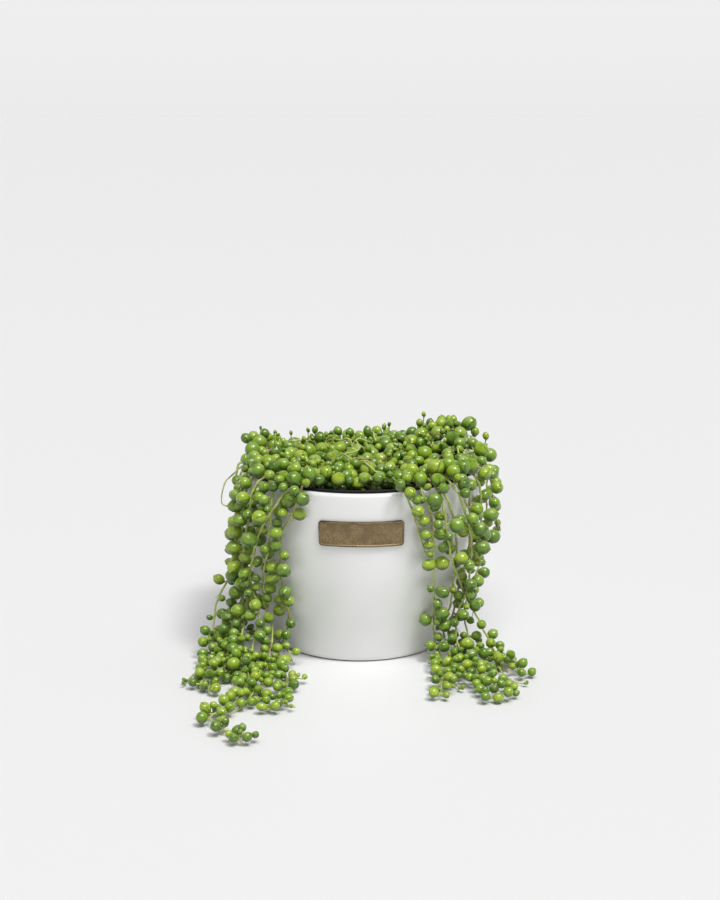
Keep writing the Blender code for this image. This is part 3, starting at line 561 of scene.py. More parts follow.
class Room:
    """What already takes up room: pearls and their stalks as balls, stems as rows of points."""

    def __init__(self, stems):
        self.points = np.vstack(stems)
        self.radii = np.full(len(self.points), STEM_RADIUS + GAP)
        self.owner = np.concatenate([np.full(len(s), i) for i, s in enumerate(stems)])
        self.whole = np.zeros(len(self.points), bool)

    def clear(self, centre, radius, root, owner):
        """Whether a solid pearl and its stalk are clear of the pot and all other pieces."""
        if not clear_of_pot(centre, radius):
            return False
        other = self.owner != owner
        check = other | self.whole
        distance = np.linalg.norm(self.points[check] - centre, axis=1)
        if (distance < self.radii[check] + radius + GAP).any():
            return False
        for point, thick in stalk_balls(centre, radius, root):
            distance = np.linalg.norm(self.points[other] - point, axis=1)
            if (distance < self.radii[other] + thick + GAP).any():
                return False
        return True

    def add(self, centre, radius, root, owner):
        """Take up the room of a solid pearl and its stalk."""
        balls = [(centre, radius)] + stalk_balls(centre, radius, root)
        self.points = np.vstack([self.points] + [point for point, _ in balls])
        self.radii = np.concatenate([self.radii, [thick + GAP for _, thick in balls]])
        self.owner = np.concatenate([self.owner, np.full(len(balls), owner)])
        self.whole = np.concatenate([self.whole, np.arange(len(balls)) == 0])


def clear_of_pot(centre, radius, front=0.0):
    """Whether a ball is clear of the surface, the pot's wall, its lip, the plate and the liner's rim."""
    x, y, z = centre
    reach = math.hypot(x, y)
    if z < radius + GAP:
        return False
    further = CREST_RIGHT * x / CREST_REACH + front * max(0.0, -y / CREST_REACH)
    if z > CREST_HEIGHT and reach + radius > CREST_REACH + further:
        return False
    if z > HANG_HEIGHT and abs(x - HANG_MIDDLE) + radius > HANG_REACH:
        return False
    if reach > LINER_RIM_RADIUS + 1 and z < POT_HEIGHT + 1:
        beside = abs(x) - PLATE_WIDTH / 2
        above = abs(z - PLATE_MIDDLE) - PLATE_HEIGHT / 2
        on_plate = y < 0 and max(beside, above) < PLATE_MARGIN
        proud = PLATE_THICKNESS + GAP if on_plate else 0
        if (reach - float(wall_radius(z)) - proud) * WALL_SLOPE < radius + GAP:
            return False
    if reach > LINER_NECK_RADIUS - 2 * PEARL_RADIUS:
        half = POT_WALL / 2
        lip = math.hypot(reach - POT_TOP_RADIUS + half, z - POT_HEIGHT + half) - half
        half = LINER_WALL / 2
        rim = math.hypot(reach - LINER_RIM_RADIUS + half, z - LINER_TOP + half) - half
        if min(lip, rim) < radius + 2 * GAP:
            return False
        if reach < LINER_RIM_RADIUS and z < LINER_TOP and reach > LINER_NECK_RADIUS - 2 - radius:
            return False
    return True


def clear_of_core(centre, radius):
    """Whether a string's pearl is clear of the mat's core."""
    x, y, z = centre
    beside = math.hypot(x, y) - MAT_CORE_RADIUS
    return max(beside, (z - core_top(x, y)) * 0.9) > radius + GAP


def unit(vector):
    """The vector at length one."""
    return vector / np.linalg.norm(vector)


def drawn(rng, *parts):
    """A vector of numbers, each given, or drawn from its (low, high)."""
    return np.array([rng.uniform(*part) if isinstance(part, tuple) else part for part in parts])


def frame_along(path, index):
    """Direction of a path at a point, a direction beside it, and one up or away from the pot."""
    ahead = unit(path[min(index + 1, len(path) - 1)] - path[max(index - 1, 0)])
    side = np.cross(ahead, (0.0, 0.0, 1.0))
    outward = np.array([path[index][0], path[index][1], 0.0])
    if np.linalg.norm(side) < 0.2:
        side = np.cross(ahead, outward)
    side = unit(side)
    up = np.cross(side, ahead)
    if up @ (outward / POT_TOP_RADIUS + np.array([0.0, 0.0, 1.0])) < 0:
        return ahead, -side, -up
    return ahead, side, up


def string_pearls(path, index, room):
    """The solid pearls of one string, as (centre, radius, root)."""
    rng = random.Random(100 + index)
    first = next(i for i, p in enumerate(path) if p[2] > LINER_TOP)
    length = (len(path) - first) * ROUTE_STEP
    count = max(4, round(length / PEARL_STEP))
    pearls = []
    for k in range(count + 1):
        share = k / count
        at = min(len(path) - 1, first + int(round(share * (len(path) - 1 - first))))
        base = PEARL_RADIUS + (PEARL_TIP_RADIUS - PEARL_RADIUS) * share**1.1
        radius = base * rng.uniform(0.86, 1.1)
        wander = rng.uniform(-0.3, 0.3)
        ahead, side, up = frame_along(path, at)
        for attempt, fan in enumerate(PEARL_FANS):
            hand = 1 if (k + attempt) % 2 else -1
            away = side * hand * math.cos(fan + wander) + up * math.sin(fan + wander) + ahead * 0.25
            away /= np.linalg.norm(away)
            centre = path[at] + away * (radius + PEARL_STALK)
            if clear_of_core(centre, radius) and room.clear(centre, radius, path[at], index):
                room.add(centre, radius, path[at], index)
                pearls.append((centre, radius, path[at]))
                break
            if attempt % 4 == 3:
                radius *= PEARL_SHRINK
    return pearls


def mat_pearls(room, owner):
    """The solid pearls of the mat, spread like the seeds of a sunflower head."""
    rng = random.Random(7)
    golden = math.pi * (3 - math.sqrt(5))
    pearls = []
    for i in range(MAT_PEARLS):
        turn = i * golden
        reach = mat_reach(turn) * math.sqrt((i + 0.5) / MAT_PEARLS)
        radius = MAT_PEARL_RADIUS * rng.uniform(0.82, 1.15)
        for attempt in range(MAT_TRIES):
            nudge = 0.4 + attempt / 3
            x = reach * math.cos(turn) + rng.uniform(-nudge, nudge)
            y = reach * math.sin(turn) + rng.uniform(-nudge, nudge)
            z = mat_top(x, y) - radius + rng.uniform(-1.6, 0.6) + 0.4 * attempt
            centre = np.array([x, y, z])
            pull = min(1.0, PEARL_ROOT_REACH / math.hypot(x, y))
            root = np.array([x * pull, y * pull, core_top(x * pull, y * pull) - PEARL_SINK])
            if room.clear(centre, radius, root, owner):
                room.add(centre, radius, root, owner)
                pearls.append((centre, radius, root))
                break
            if attempt == MAT_TRIES // 2:
                radius *= PEARL_SHRINK
    return pearls


# The finer plant: more pearls between the solid ones, creeping stems, side shoots

class Crowd:
    """Pearls as balls and stems as rows of points, in which small overlaps are allowed."""

    def __init__(self):
        self.points = np.zeros((0, 3))
        self.radii = np.zeros(0)
        self.owner = np.zeros(0, int)
        self.stem = np.zeros(0, bool)

    def add(self, points, radius, owner, stem=False):
        points = np.atleast_2d(points)
        self.points = np.vstack([self.points, points])
        self.radii = np.append(self.radii, np.full(len(points), radius))
        self.owner = np.append(self.owner, np.full(len(points), owner))
        self.stem = np.append(self.stem, np.full(len(points), stem))

    def fits(self, centre, radius, slack):
        """Whether a ball overlaps nothing by more than the slack."""
        distance = np.linalg.norm(self.points - centre, axis=1)
        return not (distance < self.radii + radius - slack).any()

    def nearest_stem(self, centre):
        """The nearest stem point, its distance and its owner."""
        points = self.points[self.stem]
        distance = np.linalg.norm(points - centre, axis=1)
        k = int(np.argmin(distance))
        return points[k], float(distance[k]), int(self.owner[self.stem][k])


def pearl_size(share, rng):
    """Radius of a string's pearl by its place, from the rim (0) to the tip (1)."""
    at_rim, at_tip = STRING_FILL
    return (at_rim + (at_tip - at_rim) * share**1.1) * rng.uniform(0.66, 1.08)


def shoot_size(share, rng):
    """Radius of a side shoot's pearl by its place."""
    return rng.uniform(*SHOOT_FILL) * (1 - 0.35 * share)


def on_bare_lip(point):
    """Whether a stem's point is on the right part of the lip, at the front."""
    left, right, low, high = BARE_LIP
    return left < point[0] < right and point[1] < 0 and low < point[2] < high


def spacing_at(point):
    """Distance between a string's pearls at a point of its stem."""
    if point[2] < FLOOR_HEIGHT:
        return FLOOR_SPACING
    spacings = RIM_SPACING if point[2] > RIM_HEIGHT else HANG_SPACING
    return spacings[0] if point[0] < 0 else spacings[1]


def out_of_place(centre, radius, height):
    """Whether a string's pearl would cover what the photograph shows bare, or break the outline."""
    x, y, z = centre
    on_wall = z < BARE_HEIGHT and y < 0 < x < BARE_RIGHT + radius and height > FLOOR_HEIGHT
    on_sky = y > SKYLINE_BEHIND and z + radius > skyline(x, y)
    return on_wall or on_sky or (z > SHOULDER_HEIGHT and radius - x > SHOULDER_LEFT)


def fill_string(path, owner, crowd, rng, sizes, sparse=None):
    """More pearls along a stem. sizes gives a radius from the share of the length."""
    first = next((i for i, p in enumerate(path) if p[2] > LINER_TOP - 1), 0)
    if math.hypot(path[0][0], path[0][1]) > LINER_RIM_RADIUS:
        first = 0
    length = (len(path) - 1 - first) * ROUTE_STEP
    pearls = []
    hand, along = 1, rng.uniform(0, HANG_SPACING[0])
    while along < length:
        share = along / length
        at = first + int(round(share * (len(path) - 1 - first)))
        radius = sizes(share, rng)
        height = path[at][2]
        spacing = spacing_at(path[at])
        if sparse and FLOOR_HEIGHT < height < sparse[0]:
            radius *= sparse[1]
            spacing = sparse[2]
        if on_bare_lip(path[at]) and rng.random() < BARE_LIP_SHARE:
            along += spacing
            continue
        ahead, side, up = frame_along(path, at)
        hand = -hand if rng.random() < HAND_CHANGE else hand
        least_fan = RIM_FAN if height > RIM_HEIGHT else 0.0
        for attempt in range(FILL_TRIES):
            fan = rng.uniform(least_fan, least_fan + FAN_SPREAD) + 0.07 * attempt
            lean = rng.uniform(*FILL_LEAN)
            stalk = rng.uniform(*FILL_STALK) + 0.1 * attempt
            way = hand if attempt % 2 == 0 else -hand
            away = unit(side * way * math.cos(fan) + up * math.sin(fan) + ahead * lean)
            centre = path[at] + away * (radius + stalk)
            if out_of_place(centre, radius, height):
                continue
            if clear_of_pot(centre, radius - GAP, CREST_FRONT) and crowd.fits(centre, radius, FILL_SLACK):
                crowd.add(centre, radius, owner)
                pearls.append((centre, radius, path[at]))
                break
            if attempt % 4 == 3:
                radius *= FILL_SHRINK
        along += spacing * rng.uniform(*SPACING_SPREAD)
    return pearls


def place_rim_pearls(crowd):
    """The pearls that stand out at the rim, moved out until they fit, by the owner of the nearest stem."""
    placed = {}
    for x, y, z, radius in RIM_PEARLS:
        centre = np.array([x, y, z], float)
        outward = np.array([x, y, 0.0]) / math.hypot(x, y) + (0.0, 0.0, 0.5)
        for attempt in range(RIM_TRIES):
            size = radius * (1 - RIM_SHRINK * attempt)
            root, distance, owner = crowd.nearest_stem(centre)
            free = clear_of_pot(centre, size - GAP, RIM_FREE) and crowd.fits(centre, size, RIM_SLACK)
            if free and distance < size + RIM_STALK:
                crowd.add(centre, size, owner)
                placed.setdefault(owner, []).append((centre, size, root))
                break
            centre = centre + outward * RIM_STEP
    return placed


def sunk(centre, radius):
    """A solid pearl of the mat, let down where it would stand too high over the skyline."""
    over = centre[2] + radius - skyline(centre[0], centre[1]) - SINK_FREE
    over = min(SINK_MOST, max(0.0, over))
    return centre - (0.0, 0.0, over), radius * (1 - SINK_SHRINK * over)


def random_place(rng, most):
    """A direction and a place in it, even over a disc of the radius most."""
    turn = rng.uniform(0, 2 * math.pi)
    reach = most * math.sqrt(rng.random())
    return turn, reach * math.cos(turn), reach * math.sin(turn)


def creeping_stem(rng):
    """A stem that creeps over the soil under the mat's pearls."""
    turn, x, y = random_place(rng, CREEP_REACH)
    heading = turn + rng.uniform(-1.4, 1.4)
    depth = rng.uniform(*CREEP_DEPTH)
    points = []
    for k in range(rng.randint(*CREEP_POINTS)):
        points.append((x, y, mat_top(x, y) - depth + 1.6 * math.sin(k * 0.8 + turn)))
        heading += rng.uniform(-0.45, 0.45)
        x += CREEP_STEP * math.cos(heading)
        y += CREEP_STEP * math.sin(heading)
        if math.hypot(x, y) > CREEP_LIMIT:
            break
    return smooth_curve(points, ROUTE_STEP) if len(points) > 2 else None


def loose_stem(rng):
    """A stem that lies over the mat's pearls and dips between them at both ends."""
    _, x, y = random_place(rng, LOOSE_REACH)
    heading = rng.uniform(0, 2 * math.pi)
    count = rng.randint(*LOOSE_POINTS)
    points = []
    for k in range(count):
        dip = LOOSE_DIP if k in (0, count - 1) else rng.uniform(-0.6, 0.8)
        points.append((x, y, skyline(x, y) - dip))
        heading += rng.uniform(-0.6, 0.6)
        x += LOOSE_STEP * math.cos(heading)
        y += LOOSE_STEP * math.sin(heading)
        if math.hypot(x, y) > mat_reach(math.atan2(y, x)) - 3:
            break
    return smooth_curve(points, ROUTE_STEP) if len(points) > 3 else None


def mat_lumps(x, y):
    """Small swells of the mat's surface, so that its skyline isn't even."""
    lumps = 1.7 * math.sin(x * 0.21 + 1.3) * math.cos(y * 0.17 - 0.4) + 1.2 * math.sin(x * 0.47 - y * 0.31)
    return swells(lumps, FILL_SWELLS, x, y)


def skyline(x, y):
    """Height of the mat's top with its small swells."""
    return mat_top(x, y) + mat_lumps(x, y)


def fill_mat(crowd, owner, rng):
    """Pearls between and under the mat's solid ones, each rooted on the nearest stem."""
    pearls = []
    for trial in range(MAT_FILL):
        turn = rng.uniform(0, 2 * math.pi)
        reach = (mat_reach(turn) + 2) * math.sqrt(rng.random())
        x, y = reach * math.cos(turn), reach * math.sin(turn)
        early = trial < MAT_FILL * 0.5
        radius = rng.uniform(*(FILL_LARGE if early else FILL_SMALL))
        top = skyline(x, y) - radius
        z = top - rng.uniform(0, FILL_SHALLOW if early and y > FRONT_ROW else FILL_DEEP)
        if z < SOIL_TOP + 3 + radius:
            continue
        centre = np.array([x, y, z])
        if not clear_of_pot(centre, radius - GAP) or not crowd.fits(centre, radius, MAT_SLACK):
            continue
        root, distance, _ = crowd.nearest_stem(centre)
        if distance > radius + MAT_STALK:
            continue
        crowd.add(centre, radius, owner)
        pearls.append((centre, radius, root))
    return pearls


def side_shoot(path, at, rng, length):
    """A short shoot that leaves a stem sideways, hanging or lying on the surface."""
    ahead, side, _ = frame_along(path, at)
    way = unit(ahead * rng.uniform(0.2, 0.8) + side * rng.choice((-1, 1)) * rng.uniform(0.6, 1.1))
    points = [path[at]]
    p = path[at].copy()
    for _ in range(4):
        p = p + way * length / 4
        if path[at][2] < 9:
            p[2] = max(FLOOR_LIFT - 0.6, min(p[2], 5) + rng.uniform(-0.6, 0.6))
        else:
            way = unit(way + np.array([0, 0, -0.4]))
        points.append(p.copy())
    curve = smooth_curve(points, ROUTE_STEP)
    outward = np.hypot(curve[:, 0], curve[:, 1]) - wall_radius(curve[:, 2])
    if outward.min() < 2.2 or curve[:, 2].min() < 1.0 or np.abs(curve[:, 0]).max() > SHOOT_REACH:
        return None
    return curve


# Meshes

def to_object(name, vertices, faces, materials, looks=None, flat=False):
    """An object in metres from vertices in millimetres."""
    mesh = bpy.data.meshes.new(name)
    mesh.from_pydata((np.array(vertices, float) * MM).tolist(), [], faces)
    mesh.update()
    for made in materials:
        mesh.materials.append(made)
    if looks:
        mesh.polygons.foreach_set("material_index", looks)
    if not flat:
        mesh.shade_smooth()
    thing = bpy.data.objects.new(name, mesh)
    bpy.context.scene.collection.objects.link(thing)
    return thing


def keep_values(thing, name, values):
    """Store a number or a vector for each vertex, for the materials."""
    values = np.array(values, np.float32)
    kind, field = ("FLOAT", "value") if values.ndim == 1 else ("FLOAT_VECTOR", "vector")
    thing.data.attributes.new(name, kind, "POINT").data.foreach_set(field, values.ravel())


class Build:
    """Vertices, faces, materials and attributes of one piece, gathered part by part."""

    def __init__(self):
        self.vertices, self.faces, self.looks, self.leaf, self.tint = [], [], [], [], []
        self.count = 0

    def add(self, vertices, faces, look, leaf, tint):
        self.vertices.append(vertices)
        for face in faces:
            self.faces.append(tuple(v + self.count for v in face))
        self.looks += [look] * len(faces)
        self.leaf.append(leaf)
        self.tint.append(np.full(len(vertices), tint))
        self.count += len(vertices)

    def piece(self, name, materials):
        """The finished object, smooth shaded."""
        thing = to_object(name, np.vstack(self.vertices), self.faces, materials, self.looks)
        keep_values(thing, "leaf", np.vstack(self.leaf))
        keep_values(thing, "tint", np.concatenate(self.tint))
        return thing


# Pearl's outline from base to tip: along the axis and out from it, in radii
PEARL_RINGS = (
    (-0.985, 0.17), (-0.91, 0.42), (-0.74, 0.68), (-0.46, 0.89), (-0.12, 0.99), (0.24, 0.97),
    (0.56, 0.82), (0.79, 0.59), (0.93, 0.33), (1.01, 0.12), (1.1, 0.035),
)
TINY_SIDES = 10
PEARL_LOOK, STEM_LOOK = 0, 1


def lattice_faces(rings, sides):
    """Faces of a closed body of rings, with a fan at each end from the two vertices after them."""
    base, tip = rings * sides, rings * sides + 1
    last = (rings - 1) * sides
    faces = []
    for s in range(sides):
        t = (s + 1) % sides
        faces += [(base, t, s), (last + s, last + t, tip)]
        for r in range(rings - 1):
            a, b = r * sides, (r + 1) * sides
            faces.append((a + s, a + t, b + t, b + s))
    return faces


def turns(sides):
    """The angles of a ring's vertices, in radians."""
    return np.arange(sides) * 2 * math.pi / sides


def spokes_at(turn, side, up):
    """Directions from a ring's middle to its vertices."""
    return np.cos(turn)[:, None] * side + np.sin(turn)[:, None] * up


def add_pearl(build, centre, radius, root, rng, sides):
    """One round leaf on its stalk, with the small point at its far end. Deep ones get painted shade, a dark
    tint.
    """
    away = unit(centre - root)
    tilt = drawn(rng, *[(-0.5, 0.5)] * 3) + (0, 0, 0.25)
    axis = unit(away + tilt * 0.8)
    side = unit(np.cross(axis, (0.31, 0.84, 0.44)))
    roll = rng.uniform(0, 2 * math.pi)
    stretch = rng.uniform(0.98, 1.08) + 0.3 * max(0, 2.6 - radius) / 2.6 + (0.18 if rng.random() < 0.1 else 0)
    wide = rng.uniform(0.96, 1.0) / stretch**0.3
    turn = turns(sides)
    spokes = spokes_at(turn + roll, side, np.cross(axis, side))
    local = np.stack([np.cos(turn), np.sin(turn)], axis=1)
    swell = 1 + 0.02 * np.sin(3 * turn + roll)
    vertices, leaf = [], []
    for along, out in PEARL_RINGS:
        ring = spokes * (out * wide * radius * swell)[:, None]
        vertices.append(centre + axis * along * stretch * radius + ring)
        leaf.append(np.column_stack([local * out, np.full(sides, along)]))
    base = centre - axis * stretch * radius * 0.99
    tip = centre + axis * (1.1 * stretch + 0.07) * radius
    vertices += [base[None], tip[None]]
    leaf += [np.array([[0, 0, -1.0]]), np.array([[0, 0, 1.17]])]
    faces = lattice_faces(len(PEARL_RINGS), sides)
    within = math.hypot(centre[0], centre[1]) < LINER_RIM_RADIUS
    # Painted shade: leaves deep in the mat get only the darkest tints
    deep = within and centre[2] + radius < mat_top(centre[0], centre[1]) - DEEP
    tint = rng.random() * PAINTED_SHADE_SHARE if deep else PAINTED_SHADE_SHARE + (1 - PAINTED_SHADE_SHARE) * rng.random()
    build.add(np.vstack(vertices), faces, PEARL_LOOK, np.vstack(leaf), tint)
    bend = root + away * np.linalg.norm(base - root) * 0.5
    thick = 0.34 + 0.055 * radius
    stalk = []
    for t in (0.0, 0.25, 0.5, 0.75, 1.0):
        stalk.append(root * (1 - t) ** 2 + bend * 2 * t * (1 - t) + (base + axis * 0.3) * t * t)
    thicks = [thick * w for w in (1.25, 0.95, 0.9, 1.0, 1.45)]
    add_tube(build, np.array(stalk), thicks, 6, PEARL_LOOK, tint, end=-1.0)


def add_tube(build, path, thicks, sides, look, tint, start=-2.0, end=-2.0):
    """A closed tube along a path. leaf's last value runs from start to end."""
    vertices, leaf = [], []
    side = None
    turn = turns(sides)
    for i, p in enumerate(path):
        ahead, fresh, _ = frame_along(path, i)
        side = unit(fresh if side is None else side - ahead * (side @ ahead))
        vertices.append(p + spokes_at(turn, side, np.cross(side, ahead)) * thicks[i])
        value = start + (end - start) * i / (len(path) - 1)
        leaf.append(np.column_stack([np.cos(turn), np.sin(turn), np.full(sides, value)]))
    tip = path[-1] + unit(path[-1] - path[-2]) * thicks[-1] * 0.6
    vertices += [path[:1], tip[None]]
    leaf += [np.array([[0, 0, start]]), np.array([[0, 0, end]])]
    faces = [face[::-1] for face in lattice_faces(len(path), sides)]
    build.add(np.vstack(vertices), faces, look, np.vstack(leaf), tint)


def add_stem(build, path, rng, thicks=STRING_THICK, sides=7):
    """A stem with a slight wander and a knot every few millimetres."""
    line = evenly(path, STEM_STEP)
    phase = rng.uniform(0, 6)
    along = np.arange(len(line))
    share = along / max(len(line) - 1, 1)
    knot = np.maximum(0, np.cos(along * STEM_STEP * 2 * math.pi / KNOT_STEP + phase)) ** 6
    thick, thin = thicks
    thicks = (thick + (thin - thick) * share) * (1 + KNOT_SWELL * knot)
    wander = np.stack([np.sin(along * 0.9 + phase), np.cos(along * 1.1 + phase), np.sin(along * 0.7)], 1)
    fade = np.clip(np.minimum(along, len(line) - 1 - along) / 3, 0, 1)[:, None]
    line = line + wander * STEM_WANDER * fade
    add_tube(build, line, thicks, sides, STEM_LOOK, rng.random())


def add_air_root(build, start, outward, rng):
    """A thin dry root that hangs from a knot of a stem."""
    points = [start]
    p = np.array(start, float)
    way = outward * rng.uniform(0.4, 1.0) + drawn(rng, (-0.6, 0.6), (-0.6, 0.6), -0.8)
    for _ in range(3):
        p = p + way / np.linalg.norm(way) * rng.uniform(1.4, 2.6)
        way = way + drawn(rng, (-0.5, 0.5), (-0.5, 0.5), -0.3)
        points.append(p.copy())
    if min(q[2] for q in points) < 0.4:
        return
    curve = smooth_curve(points, 1.0)
    add_tube(build, curve, np.linspace(0.24, 0.1, len(curve)), 4, STEM_LOOK, 1.0)


def add_dry_bit(build, start, rng):
    """A dried scrap of leaf or stalk caught between the pearls."""
    way = unit(drawn(rng, (-1, 1), (-1, 1), (-0.2, 0.5)))
    long = rng.uniform(2.0, 4.5)
    bend = drawn(rng, (-0.6, 0.6), (-0.6, 0.6), (0.0, 0.8))
    line = smooth_curve([start, start + way * long / 2 + bend, start + way * long], 0.6)
    wide = rng.uniform(0.35, 0.75) * np.sin(np.linspace(0.35, math.pi - 0.15, len(line)))
    add_tube(build, line, wide, 6, STEM_LOOK, 1.0)


def add_runner(build, points, rng):
    """A thin leafless shoot with tiny pointed leaves at its end and fine roots at its knots."""
    curve = smooth_curve(points, 1.0)
    thicks = np.linspace(0.5, 0.3, len(curve))
    thicks *= 1 + 0.3 * np.maximum(0, np.cos(np.arange(len(curve)) * 0.9)) ** 8
    add_tube(build, curve, thicks, 6, STEM_LOOK, rng.uniform(0.1, 0.5))
    for at in range(4, len(curve) - 3, 7):
        if rng.random() < 0.6:
            add_air_root(build, curve[at], drawn(rng, (-1, 1), (-1, 0.4), 0.0), rng)
    for k in range(2):
        way = unit(drawn(rng, (-1, 1), (-1, 0.2), (0.1, 0.8)))
        root = curve[-1 - 2 * k]
        radius = rng.uniform(0.8, 1.3)
        add_pearl(build, root + way * (radius + 0.6), radius, root, rng, TINY_SIDES)


def add_sprig(build, place, radius, rng):
    """A single leaf on a thin stem that stands up out of the mat."""
    x, y, z = place
    foot = (x * 0.96, y * 0.96, mat_top(x, y) - 6)
    curve = smooth_curve([foot, (x * 0.99, y, (foot[2] + z - radius) / 2), (x, y, z - radius - 0.6)], 1.0)
    add_tube(build, curve, np.linspace(0.5, 0.32, len(curve)), 6, STEM_LOOK, rng.random() * 0.5)
    add_pearl(build, np.array(place, float), radius, curve[-1], rng, pearl_sides(radius))
    middle = curve[len(curve) // 2]
    add_pearl(build, middle + (0.9, -0.8, 0.5), 0.9, middle, rng, TINY_SIDES)


def add_sprout(build, start, rng, height):
    """A young upright tip with a few tiny pointed leaves."""
    lean = drawn(rng, (-0.5, 0.5), (-0.5, 0.5), 1.0)
    points = [start, start + lean * height * 0.5, start + lean * height + (rng.uniform(-1, 1), 0, 0)]
    curve = smooth_curve(points, 1.0)
    add_tube(build, curve, np.linspace(0.45, 0.25, len(curve)), 6, STEM_LOOK, rng.random() * 0.4)
    for k in range(rng.randint(2, 4)):
        at = curve[-1 - k * 2] if len(curve) > 2 * k + 1 else curve[0]
        way = unit(drawn(rng, (-1, 1), (-1, 1), (0.2, 1.2)))
        radius = rng.uniform(0.9, 1.7)
        add_pearl(build, at + way * (radius + 0.5), radius, at, rng, TINY_SIDES)


# Materials

def set_stops(ramp, stops):
    """Give a colour ramp its stops, each a place and a colour."""
    while len(ramp.elements) < len(stops):
        ramp.elements.new(0.5)
    for element, (place, colour) in zip(ramp.elements, stops):
        element.position = place
        element.color = (*colour, 1)


class Nodes:
    """One material, with short names for adding and linking its shader nodes."""

    def __init__(self, name, **settings):
        self.made = bpy.data.materials.new(name)
        self.made.use_nodes = True
        self.tree = self.made.node_tree
        self.shader = self.tree.nodes["Principled BSDF"]
        for key, value in settings.items():
            self.shader.inputs[key.replace("_", " ")].default_value = value

    def put(self, socket, value):
        """Link an output, or set a number, a vector or a colour."""
        if isinstance(value, bpy.types.NodeSocket):
            self.tree.links.new(value, socket)
        else:
            socket.default_value = (*value, 1) if socket.type == "RGBA" else value

    def node(self, kind, inputs, **settings):
        """The outputs of a new node, whose inputs are set or linked by name or number."""
        node = self.tree.nodes.new("ShaderNode" + kind)
        for name, value in settings.items():
            setattr(node, name, value)
        for key, value in inputs.items():
            self.put(node.inputs[key], value)
        return node.outputs

    def math(self, operation, a, b=0.0, c=0.0, clamp=False):
        return self.node("Math", {0: a, 1: b, 2: c}, operation=operation, use_clamp=clamp)[0]

    def vector(self, operation, a, b):
        return self.node("VectorMath", {0: a, 1: b}, operation=operation)[0]

    def mix(self, share, a, b):
        """Colour a where share is 0 and b where it is 1."""
        return self.node("Mix", {0: share, 6: a, 7: b}, data_type="RGBA")[2]

    def noise(self, where, scale, detail=2.0, rough=0.5):
        inputs = {"Vector": where, "Scale": scale, "Detail": detail, "Roughness": rough}
        return self.node("TexNoise", inputs)["Fac"]

    def cells(self, where, scale):
        return self.node("TexVoronoi", {"Vector": where, "Scale": scale})["Distance"]

    def spread(self, value, low, high, to_low=0.0, to_high=1.0):
        """Map a range to another, clamped and eased."""
        inputs = {0: value, 1: low, 2: high, 3: to_low, 4: to_high}
        return self.node("MapRange", inputs, interpolation_type="SMOOTHSTEP")[0]

    def ramp(self, value, stops):
        colour = self.node("ValToRGB", {0: value})[0]
        set_stops(colour.node.color_ramp, stops)
        return colour

    def attribute(self, name, output):
        return self.node("Attribute", {}, attribute_name=name)[output]

    def place(self):
        """Where on the object, in metres."""
        return self.node("TexCoord", {})["Object"]

    def facing(self):
        """Which way the surface faces."""
        return self.node("NewGeometry", {})["Normal"]

    def bump(self, height, distance, strength=1.0, **normal):
        inputs = {"Height": height, "Distance": distance * MM, "Strength": strength}
        return self.node("Bump", {**inputs, **normal})[0]

    def surface(self, colour, **others):
        """The finished material, from its colour, Roughness and Normal."""
        for name, value in {"Base Color": colour, **others}.items():
            self.put(self.shader.inputs[name], value)
        return self.made


# Colours of the skin by the tint of the leaf; the lowest tints, kept for leaves deep in the mat, are painted
# shade
SKIN_TINTS = (
    (0.0, (0.010, 0.030, 0.001)), (0.12, (0.050, 0.135, 0.002)), (0.2, (0.085, 0.195, 0.002)),
    (0.42, (0.150, 0.295, 0.003)), (0.7, (0.245, 0.400, 0.004)), (1.0, (0.390, 0.520, 0.012)),
)


